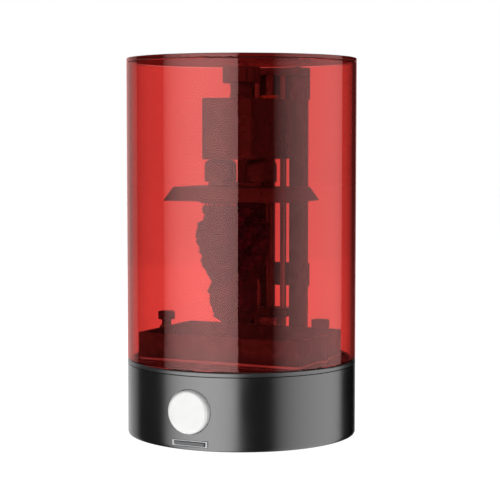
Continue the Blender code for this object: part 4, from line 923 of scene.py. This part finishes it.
@dataclass
class Vat:
    """The resin vat: frame, film, clamp ring, and the thumb screws that hold it."""

    teeth: int = 36

    def build(self) -> None:
        """Build the frame, the film, the clamp ring and the thumb screws."""
        Shape.from_node("vat_frame", 0.0004).dress("vat_tank", "vat", ANODISED, "vat_frame")
        Shape.from_node("film_clamp_ring", 0.0003).dress("clamp_ring", "vat", MILLED, "film_clamp_ring")
        Shape.from_node("release_film").dress("film_sheet", "vat", FILM, "release_film")
        for hand in ("left", "right"):
            self.thumb_screw(hand)

    def thumb_screw(self, hand: str) -> None:
        """Build one knurled thumb screw and its washer.

        Args:
            hand: left or right.
        """
        low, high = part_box(f"thumb_screw_{hand}")
        middle = (low + high) / 2
        washer_low, washer_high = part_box(f"thumb_washer_{hand}")
        shoulder = washer_high.z + 0.0003
        neck, head, radius = shoulder + 0.0043, high.z, (high.x - low.x) / 2
        edge = 0.0004
        outline = [
            (0, head - 0.0005), (radius * 0.55, head - 0.0005), (radius * 0.62, head), (radius - edge, head),
            (radius, head - edge), (radius, neck + edge), (radius - edge, neck), (0.0039, neck),
            (0.0037, neck - 0.0002), (0.0037, shoulder + 0.0003), (0.0039, shoulder), (0.002, shoulder),
            (0.002, low.z + 0.0005), (0.0015, low.z), (0, low.z),
        ]
        shape = Shape.turned(outline, steps=self.teeth * 4)
        deep = 0.00028

        def knurl(co: Vector) -> Vector:
            """Pull in every other pair of points on the head's side."""
            out = math.hypot(co.x, co.y)
            turn = round(math.atan2(co.y, co.x) / math.tau * self.teeth * 4) % 4
            if co.z < neck or out < radius - edge * 1.2 or turn > 1:
                return co
            return Vector((co.x * (1 - deep / out), co.y * (1 - deep / out), co.z))

        shape.reshaped(knurl).moved((middle.x, middle.y, 0))
        shape.dress(f"thumb_knob_{hand}", f"thumb_screw_{hand}", ANODISED, f"thumb_screw_{hand}")
        washer = [(0.0022, washer_low.z), (0.0048, washer_low.z), (0.0049, washer_low.z + 0.0001),
                  (0.0049, washer_high.z - 0.0001), (0.0048, washer_high.z), (0.0022, washer_high.z)]
        ring = Shape.turned(washer, True, 48).moved((middle.x, middle.y, 0))
        ring.dress(f"washer_{hand}", f"thumb_washer_{hand}", STEEL, f"thumb_washer_{hand}")


@dataclass
class Tower:
    """The lift tower: posts, rods, back, plates and bearing."""

    def build(self) -> None:
        """Build the tower's pieces and the screws that hold them."""
        for hand in ("left", "right"):
            Shape.from_node(f"tower_post_{hand}", 0.0005).dress(f"post_{hand}", "base", ANODISED,
                                                               f"tower_post_{hand}")
            self.rod(hand)
        Shape.from_node("tower_top_plate", 0.0005).dress("top_block", "base", ANODISED, "tower_top_plate")
        Shape.from_node("tower_back", 0.0003).dress("back_plate", "base", ANODISED, "tower_back")
        Shape.from_node("screw_support", 0.0003).dress("screw_bracket", "base", ANODISED, "screw_support")
        self.bearing()
        self.fixings()

    def rod(self, hand: str) -> None:
        """Turn one guide rod with chamfered ends."""
        low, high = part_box(f"guide_rod_{hand}")
        middle, radius = (low + high) / 2, (high.x - low.x) / 2
        chamfer = 0.0004
        outline = [(0, high.z), (radius - chamfer, high.z), (radius, high.z - chamfer),
                   (radius, low.z + chamfer), (radius - chamfer, low.z), (0, low.z)]
        rod = Shape.turned(outline, steps=48).moved((middle.x, middle.y, 0))
        rod.dress(f"rod_{hand}", "base", STEEL, f"guide_rod_{hand}")

    def bearing(self) -> None:
        """Turn the top bearing with its races and shield."""
        low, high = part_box("screw_top_bearing")
        middle, outer, bore = (low + high) / 2, (high.x - low.x) / 2, 0.0027
        step = 0.0003
        outline = [
            (outer - 0.0002, high.z), (outer, high.z - 0.0002),
            (outer, low.z + 0.0002), (outer - 0.0002, low.z), (bore, low.z), (bore, high.z),
            (bore + 0.0009, high.z), (bore + 0.001, high.z - step),
            (outer - 0.0011, high.z - step), (outer - 0.001, high.z),
        ]
        shape = Shape.turned(outline, True, 64).moved((middle.x, middle.y, 0))
        shape.dress("top_bearing", "base", STEEL, "screw_top_bearing")

    def fixings(self) -> None:
        """Fit the cap screws on the top block, the posts' sides and the back."""
        low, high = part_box("tower_top_plate")
        y = (low.y + high.y) / 2
        spots = [(x, y, high.z) for x in (low.x + 0.006, high.x - 0.006)]
        screws("top_block_screws", "base", above(spots), ANODISED, 0.0022, 0.0010)
        places = []
        for hand, side in (("left", -1), ("right", 1)):
            post_low, post_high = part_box(f"tower_post_{hand}")
            x = post_low.x if side < 0 else post_high.x
            for height in (post_high.z - 0.005, 0.165, 0.098):
                at = Matrix.Translation((x, (post_low.y + post_high.y) / 2, height))
                places.append(at @ facing("left" if side < 0 else "right"))
        screws("post_screws", "base", places, STEEL, 0.0016, 0.0011)
        low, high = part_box("tower_back")
        heights = (low.z + 0.010, low.z + 0.075, low.z + 0.145, high.z - 0.012)
        places = [Matrix.Translation((-0.0225, high.y, height)) @ facing("back") for height in heights]
        places.append(Matrix.Translation((0.0225, high.y, 0.1138)) @ facing("back"))
        screws("back_screws", "base", places, STEEL, 0.0018, 0.0012)


@dataclass
class Drive:
    """The lead screw with its real thread, the coupling, the shaft and the motor."""

    pitch: float = 0.002
    starts: int = 4
    steps: int = 32
    rows_per_pitch: int = 8
    depth: float = 0.00075

    def build(self) -> None:
        """Build the screw, the shaft, the coupling and the motor."""
        self.screw()
        Shape.from_node("motor_shaft", 0.0002).dress("drive_shaft", "screw", STEEL, "motor_shaft")
        self.coupling()
        self.motor()

    def screw(self) -> None:
        """Turn a fine grid and press a trapezium thread of several starts into it."""
        low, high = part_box("lead_screw")
        middle, radius = (low + high) / 2, (high.x - low.x) / 2
        shoulder = high.z - 0.0052
        rise = self.pitch / self.rows_per_pitch
        count = int((shoulder - low.z) / rise)
        wall = [(radius, shoulder - index * rise) for index in range(count + 1)]
        outline = [(0, high.z), (0.0022, high.z), (0.0025, high.z - 0.0003), (0.0025, shoulder), *wall,
                   (radius - 0.0006, low.z), (0, low.z)]

        def thread(co: Vector) -> Vector:
            """Set a point of the wall to the thread's crest, flank or root."""
            out = math.hypot(co.x, co.y)
            if out < radius * 0.9:
                return co
            phase = (co.z / self.pitch - self.starts * math.atan2(co.y, co.x) / math.tau) % 1.0
            groove = min(1.0, max(0.0, 2.2 - abs(phase - 0.5) * 6.0))
            share = 1.0 - self.depth * groove / radius
            return Vector((co.x * share, co.y * share, co.z))

        shape = Shape.turned(outline, steps=self.steps).reshaped(thread).moved((middle.x, middle.y, 0))
        shape.dress("threaded_screw", "screw", STEEL, "lead_screw")

    def coupling(self) -> None:
        """Build the coupling: two clamping ends joined by a wound spring section."""
        low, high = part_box("shaft_coupling")
        middle, radius = (low + high) / 2, (high.x - low.x) / 2
        end, bore = 0.0062, 0.0043
        whole = Shape()
        for base, top in ((low.z, low.z + end), (high.z - end, high.z)):
            ring = [(bore, base), (radius - 0.0005, base), (radius, base + 0.0005), (radius, top - 0.0002),
                    (radius - 0.0002, top), (bore, top)]
            whole.add(Shape.turned(ring, True, 64))
        turns, pitch, thick = 3, (high.z - low.z - 2 * end) / 3, 0.0024
        wound = Shape()
        corners = [wound.mesh.verts.new((x, 0, low.z + end - thick + z)) for x, z in
                   ((bore, 0), (radius, 0), (radius, thick), (bore, thick))]
        section = wound.mesh.faces.new(corners)
        bmesh.ops.spin(wound.mesh, geom=[section, *section.edges, *section.verts], cent=(0, 0, 0),
                       axis=(0, 0, 1), dvec=(0, 0, pitch / 32), angle=math.tau * (turns + 0.6),
                       steps=int(32 * (turns + 0.6)))
        bmesh.ops.holes_fill(wound.mesh, edges=[e for e in wound.mesh.edges if e.is_boundary], sides=4)
        whole.add(wound)
        whole.moved((middle.x, middle.y, 0)).dress("spring_coupling", "screw", TURNED, "shaft_coupling")
        places = [Matrix.Translation((middle.x + radius - 0.0006, middle.y, height)) @ facing("right")
                  for height in (low.z + 0.003, high.z - 0.003)]
        screws("coupling_screws", "screw", places, ANODISED, 0.0011, 0.0008)

    def motor(self) -> None:
        """Build the motor as two cast ends with the laminations between them."""
        low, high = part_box("lift_motor")
        third = (high.z - low.z) * 0.28
        shape = Shape.block(low, (high.x, high.y, low.z + third), 0.0035, 0.0004)
        top = Shape.block((low.x, low.y, high.z - third), high, 0.0035, 0.0004)
        bore = Shape.turned(rounded(0.0027, high.z + 0.002, low.z + 0.015, 0.0001), steps=32)
        shape.add(top.cut(bore.moved(((low.x + high.x) / 2, (low.y + high.y) / 2, 0))))
        shape.add(Shape.block((low.x + 0.0003, low.y + 0.0003, low.z + third - 0.0002),
                              (high.x - 0.0003, high.y - 0.0003, high.z - third + 0.0002), 0.0042, 0.0001), 1)
        shape.dress("stepper_case", "base", [ANODISED, STEEL], "lift_motor")


@dataclass
class Carriage:
    """The carriage, its nut and bushes, the arm and the clamp's sleeve."""

    def build(self) -> None:
        """Build the carriage's pieces and fixings."""
        Shape.from_node("carriage_block", 0.0005).dress("slide_block", "carriage", ANODISED, "carriage_block")
        Shape.from_node("lead_nut", 0.0003).dress("screw_nut", "carriage", BRASS, "lead_nut")
        for hand in ("left", "right"):
            Shape.from_node(f"guide_bush_{hand}", 0.0002).dress(f"bush_{hand}", "carriage", BRASS,
                                                               f"guide_bush_{hand}")
        Shape.from_node("arm_head", 0.0010).dress("arm_casting", "carriage", ANODISED, "arm_head")
        self.sleeve()
        low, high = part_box("arm_head")
        y = high.y - 0.006
        places = []
        for side, hand in ((-1, "left"), (1, "right")):
            for height in (low.z + 0.008, high.z - 0.008):
                x = low.x if side < 0 else high.x
                places.append(Matrix.Translation((x, y, height)) @ facing(hand))
        screws("arm_screws", "carriage", places, ANODISED, 0.0020, 0.0009)

    def sleeve(self) -> None:
        """Turn the clamp's sleeve with a waist and a rounded rim."""
        low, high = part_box("clamp_sleeve")
        middle, radius, bore = (low + high) / 2, (high.x - low.x) / 2, 0.0044
        outline = [(bore, low.z), (radius - 0.0003, low.z), (radius, low.z + 0.0003), (radius, low.z + 0.002),
                   (radius - 0.0006, low.z + 0.0027), (radius - 0.0006, high.z - 0.002),
                   (radius, high.z - 0.0014), (radius, high.z - 0.0004), (radius - 0.0004, high.z),
                   (bore, high.z)]
        shape = Shape.turned(outline, True, 96).moved((middle.x, middle.y, 0))
        shape.dress("clamp_collar", "carriage", ANODISED, "clamp_sleeve")


@dataclass
class Clamp:
    """The clamp that holds the platform: fluted knob, threaded rod and pad."""

    flutes: int = 12

    def build(self) -> None:
        """Build the knob, the rod and the pad."""
        self.knob()
        Shape.from_node("clamp_rod", 0.0004).dress("clamp_stud", "clamp", STEEL, "clamp_rod")
        Shape.from_node("clamp_pad", 0.0003).dress("clamp_foot", "clamp_pad", BRASS, "clamp_pad")

    def knob(self) -> None:
        """Turn the knob's cap and pull flutes into its side."""
        low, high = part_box("clamp_knob")
        middle, radius = (low + high) / 2, (high.x - low.x) / 2
        dome = 0.0018
        wall_top, bore = high.z - dome, 0.0042
        crown = [(radius * math.sin(step * math.pi / 24), wall_top + dome * math.cos(step * math.pi / 24))
                 for step in range(12)]
        side = [(radius, wall_top - (wall_top - low.z - 0.0008) * step / 10) for step in range(11)]
        outline = [*crown, *side, (radius - 0.0008, low.z), (bore, low.z), (bore, low.z + 0.006),
                   (0, low.z + 0.006)]

        def flute(co: Vector) -> Vector:
            """Pull a point of the side in where a flute runs."""
            out = math.hypot(co.x, co.y)
            if out < radius * 0.55:
                return co
            turn = math.atan2(co.y, co.x) * self.flutes
            depth = 0.0012 * max(0.0, -math.cos(turn)) ** 0.7 * min(1.0, (out / radius - 0.55) / 0.35)
            return Vector((co.x * (1 - depth / out), co.y * (1 - depth / out), co.z))

        shape = Shape.turned(outline, steps=self.flutes * 16).reshaped(flute).moved((middle.x, middle.y, 0))
        shape.dress("fluted_knob", "clamp", BLACK_MOULDING, "clamp_knob")


@dataclass
class Platform:
    """The build platform: plate, hub, posts and the print that hangs from it."""

    rows: int = 250
    steps: int = 288
    seed: int = 2

    def build(self) -> None:
        """Build the platform's pieces and the printed piece."""
        Shape.from_node("build_plate", 0.0005).dress("plate_block", "platform", BLASTED_PLATE, "build_plate")
        Shape.from_node("platform_hub", 0.0005).dress("plate_bracket", "platform", ANODISED, "platform_hub")
        for hand in ("left", "right"):
            Shape.from_node(f"platform_post_{hand}", 0.0004).dress(f"plate_post_{hand}", "platform", ANODISED,
                                                                 f"platform_post_{hand}")
        low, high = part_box("platform_hub")
        spots = [(x, y, high.z) for x in (low.x + 0.0035, high.x - 0.0035)
                 for y in (low.y + 0.0025, high.y - 0.0025)]
        screws("plate_screws", "platform", above(spots), STEEL, 0.0015, 0.0010)
        self.print_piece()

    def width_at(self, share: float) -> float:
        """Return the print's width at a share of its length down, as a share of its widest."""
        stops = ((0.0, 0.80), (0.06, 0.78), (0.14, 0.93), (0.28, 0.95), (0.45, 0.84), (0.62, 0.66),
                 (0.80, 0.64), (0.92, 0.52), (0.98, 0.30), (1.0, 0.0))
        for (start, first), (end, second) in zip(stops, stops[1:]):
            if share <= end:
                part = (share - start) / (end - start)
                part = part * part * (3 - 2 * part)
                return first + (second - first) * part
        return 0.0

    def print_piece(self) -> None:
        """Build the abstract folded print with its raft and the thin supports between them."""
        noise.seed_set(self.seed)
        low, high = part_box("sample_print")
        middle = (low + high) / 2
        half_x, half_y = (high.x - low.x) / 2, (high.y - low.y) / 2
        raft, gap = 0.0016, 0.0022
        top = high.z - raft - gap
        length = top - low.z - 0.0012
        outline = [(0.0, top), *[(max(self.width_at(row / self.rows), 1e-4), top - length * row / self.rows)
                                 for row in range(self.rows)], (0.0, top - length)]

        def fold(co: Vector) -> Vector:
            """Fold a point of the plain form into ridges, hollows and pleats."""
            out = math.hypot(co.x, co.y)
            if out < 1e-5:
                return Vector((middle.x, middle.y, co.z))
            down = (top - co.z) / length
            turn = math.atan2(co.y, co.x) + 2.6 * down
            way = Vector((math.cos(turn), math.sin(turn), 0)) * 1.35
            spot = way + Vector((0, 0, down * 4.6))
            warp = noise.noise_vector(spot * 1.1, noise_basis="PERLIN_ORIGINAL") * 0.55
            ridge = noise.ridged_multi_fractal(spot + warp, 1.0, 2.1, 5, 1.0, 2.0,
                                               noise_basis="PERLIN_ORIGINAL")
            pleat = math.sin(9 * turn + 5.5 * down + 3 * warp.x) * 0.5 + 0.5
            fine = noise.ridged_multi_fractal(spot * 4.2 + warp, 0.9, 2.2, 3, 1.0, 2.0,
                                              noise_basis="PERLIN_ORIGINAL")
            share = min(1.0, 0.52 + 0.18 * min(1.6, ridge) + 0.09 * pleat ** 2 + 0.095 * min(2.0, fine))
            x, y = co.x / out, co.y / out
            return Vector((middle.x + x * out * share * half_x, middle.y + y * out * share * half_y, co.z))

        shape = Shape.turned(outline, steps=self.steps).reshaped(fold)
        base = Shape.turned([(0, high.z), (1.0, high.z), (1.0, high.z - raft * 0.5), (0.94, high.z - raft),
                             (0, high.z - raft)], steps=96)
        wide, deep = half_x * 0.86, half_y * 0.86
        base.reshaped(lambda co: Vector((middle.x + co.x * wide, middle.y + co.y * deep, co.z)))
        shape.add(base)
        for ring, count in ((0.25, 6), (0.5, 11), (0.70, 16)):
            for index in range(count):
                turn = (index + ring) * math.tau / count
                shape.add(self.support(middle, half_x * ring, half_y * ring, turn, high.z - raft + 0.0002,
                                       top - 0.006))
        piece = shape.dress("folded_print", "platform", PRINTED, "sample_print")
        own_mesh(piece)

    def support(self, middle: Vector, wide: float, deep: float, turn: float, high: float,
                low: float) -> Shape:
        """Build one thin tapered support.

        Args:
            middle: the print's middle.
            wide: how far out it stands along X.
            deep: how far out it stands along Y.
            turn: its angle round the middle.
            high: its top.
            low: its bottom, inside the print.

        Returns:
            The support.
        """
        thick, thin = 0.0009, 0.0004
        outline = [(0, high), (thick, high), (thick * 0.6, high - 0.0015), (thin, low), (0, low)]
        place = (middle.x + wide * math.cos(turn), middle.y + deep * math.sin(turn), 0)
        return Shape.turned(outline, steps=10).moved(place)


@dataclass
class Cover:
    """The clear red cover: a tube with its glued top disc."""

    steps: int = 256
    polish: float = 0.0003

    def build(self) -> None:
        """Turn the tube and the disc with polished rims."""
        low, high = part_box("cover_tube")
        outer = high.x
        inner = outer - 0.003
        rim = self.polish
        outline = [(outer, high.z - rim), (outer, low.z + rim), (outer - rim, low.z), (inner + rim, low.z),
                   (inner, low.z + rim), (inner, high.z - rim), (inner + rim, high.z), (outer - rim, high.z)]
        Shape.turned(outline, True, self.steps).dress("cover_wall", "cover", ACRYLIC, "cover_tube")
        low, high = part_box("cover_top")
        outline = [(0, high.z), (high.x - rim, high.z), (high.x, high.z - rim), (high.x, low.z + rim),
                   (high.x - rim, low.z), (0, low.z)]
        Shape.turned(outline, steps=self.steps).dress("cover_disc", "cover", ACRYLIC, "cover_top")


@dataclass
class Studio:
    """The floor, the tall soft lamps, the pale surroundings and the camera."""

    azimuth: float = 25.6
    distance: float = 1.153
    eye: float = 0.2203
    tilt: float = 4.167
    lens: float = 111.44
    shift: float = 0.0168
    left_strength: float = 6.0
    right_strength: float = 3.3
    rim_strength: float = 1.0
    fill_strength: float = 4.1
    lamp_middle: float = 0.35
    glow: float = 0.965
    mirrored_room: float = 0.03
    inner_room: float = 0.15
    room_fill: float = 0.12

    def build(self) -> None:
        """Set up the whole studio."""
        self.camera()
        self.floor()
        self.surroundings()
        self.lamp("lamp_left", -42.1, 1.2, 1.92, self.left_strength, 0.25, 0.55).visible_diffuse = False
        self.lamp("lamp_right", 73.0, 1.2, 2.24, self.right_strength, 0.10, 0.80).visible_diffuse = False
        self.lamp("lamp_rim", -163.0, 1.5, 2.34, self.rim_strength, 0.0, 0.55).visible_diffuse = False
        self.lamp("lamp_fill", -42.1, 1.2, 1.92, self.fill_strength, 0.25, 0.55).visible_glossy = False
        bpy.context.scene.view_settings.view_transform = "Standard"

    def bearing(self, turn: float) -> Vector:
        """Return the level direction from the printer at an angle to the right of the camera."""
        angle = math.radians(self.azimuth + turn)
        return Vector((math.sin(angle), -math.cos(angle), 0))

    def camera(self) -> None:
        """Place the camera and make it the scene's own."""
        data = bpy.data.cameras.new("camera")
        data.lens, data.sensor_width, data.shift_x = self.lens, 36.0, self.shift
        camera = bpy.data.objects.new("camera", data)
        bpy.context.scene.collection.objects.link(camera)
        camera.location = self.bearing(0) * self.distance + Vector((0, 0, self.eye))
        camera.rotation_euler = (math.radians(90 - self.tilt), 0, math.radians(self.azimuth))
        bpy.context.scene.camera = camera

    def floor(self) -> None:
        """Lay a wide pale floor that polished pieces don't mirror."""
        shape = Shape()
        bmesh.ops.create_circle(shape.mesh, cap_ends=True, segments=96, radius=6.0)
        floor = shape.as_object("studio_floor")
        sheet = Sheet("pale_floor")
        paper = sheet.grain(0.4, 3.0)
        colour = sheet.blend((0.29, 0.29, 0.29), (0.31, 0.31, 0.31), paper)
        mirrored = Signal(sheet, sheet.node("ShaderNodeLightPath").outputs["Glossy Depth"]).above(0.5, 0.1)
        light = sheet.blend((1.0, 1.0, 1.0), (self.inner_room, self.inner_room, self.inner_room), mirrored)
        inputs = {"Base Color": colour, "Roughness": 0.7, "Emission Color": light,
                  "Emission Strength": self.glow}
        floor.data.materials.append(sheet.show(sheet.node("ShaderNodeBsdfPrincipled", None, inputs)))
        floor.visible_glossy = False

    def surroundings(self) -> None:
        """Light the room evenly, but dark where polished surfaces mirror it."""
        world = bpy.data.worlds.new("studio_room")
        bpy.context.scene.world = world
        world.use_nodes = True
        tree = world.node_tree
        tree.nodes.clear()
        path = tree.nodes.new("ShaderNodeLightPath")
        room, output = tree.nodes.new("ShaderNodeBackground"), tree.nodes.new("ShaderNodeOutputWorld")
        room.inputs["Color"].default_value = (1, 1, 1, 1)
        total = room.inputs["Strength"]
        dimmed = (("SUBTRACT", ("Is Reflection Ray", "Is Diffuse Ray"), self.mirrored_room),
                  ("MINIMUM", ("Glossy Depth",), self.inner_room),
                  ("MINIMUM", ("Diffuse Depth",), self.room_fill))
        for operation, outputs, share in dimmed:
            once = tree.nodes.new("ShaderNodeMath")
            once.operation = operation
            once.inputs[1].default_value = 1.0
            for place, named in enumerate(outputs):
                tree.links.new(path.outputs[named], once.inputs[place])
            level = tree.nodes.new("ShaderNodeMath")
            level.operation = "MULTIPLY_ADD"
            level.inputs[1].default_value = share - 1.0
            level.inputs[2].default_value = 1.0
            tree.links.new(once.outputs[0], level.inputs[0])
            product = tree.nodes.new("ShaderNodeMath")
            product.operation = "MULTIPLY"
            product.inputs[1].default_value = 1.0
            tree.links.new(level.outputs[0], product.inputs[0])
            tree.links.new(product.outputs[0], total)
            total = product.inputs[1]
        tree.links.new(room.outputs[0], output.inputs["Surface"])

    def lamp(self, name: str, turn: float, distance: float, width: float, strength: float, peak: float,
             falloff: float, height: float = 3.4) -> bpy.types.Object:
        """Stand one tall softbox facing the printer.

        Args:
            name: the lamp's name.
            turn: its angle to the right of the camera.
            distance: its distance from the printer.
            width: the panel's width.
            strength: the brightness of the panel's brightest line.
            peak: where that line stands, from −1 at the panel's left side to 1 at its right.
            falloff: how fast the panel dims away from that line.
            height: the panel's height.

        Returns:
            The lamp.
        """
        data = bpy.data.lights.new(name, "AREA")
        data.shape, data.size, data.size_y = "RECTANGLE", width, height
        data.energy = math.pi * width * height * strength
        self.shade_panel(data, peak, falloff)
        lamp = bpy.data.objects.new(name, data)
        bpy.context.scene.collection.objects.link(lamp)
        place = self.bearing(turn) * distance + Vector((0, 0, self.lamp_middle))
        lamp.location = place
        lamp.rotation_euler = (-self.bearing(turn)).to_track_quat("-Z", "Y").to_euler()
        lamp.visible_camera = False
        lamp.visible_transmission = False
        return lamp

    def shade_panel(self, data: bpy.types.Light, peak: float, falloff: float) -> None:
        """Make a panel brightest along one upright line and dimmer towards its sides.

        Args:
            data: the lamp.
            peak: where the line stands, from −1 to 1.
            falloff: how fast the panel dims away from it.
        """
        data.use_nodes = True
        tree = data.node_tree
        across = tree.nodes.new("ShaderNodeSeparateXYZ")
        tree.links.new(tree.nodes.new("ShaderNodeNewGeometry").outputs["Parametric"], across.inputs[0])
        level = across.outputs[0]
        for operation, first, second in (("MULTIPLY_ADD", 2.0, -1.0 - peak), ("POWER", 2.0, 0.0),
                                         ("MULTIPLY_ADD", -falloff, 1.0)):
            step = tree.nodes.new("ShaderNodeMath")
            step.operation = operation
            step.inputs[1].default_value, step.inputs[2].default_value = first, second
            tree.links.new(level, step.inputs[0])
            level = step.outputs[0]
        tree.links.new(level, tree.nodes["Emission"].inputs["Strength"])


def main() -> None:
    """Build the printer and its studio."""
    logging.basicConfig(level=logging.INFO, format="%(name)s: %(message)s")
    assemblies = (Casing(), Knob(), CardReader(), Electronics(), LightEngine(), Fan(), Vat(), Tower(),
                  Drive(), Carriage(), Clamp(), Platform(), Cover(), Studio())
    for assembly in assemblies:
        LOG.info("building the %s", type(assembly).__name__)
        assembly.build()


if __name__ == "__main__":
    main()
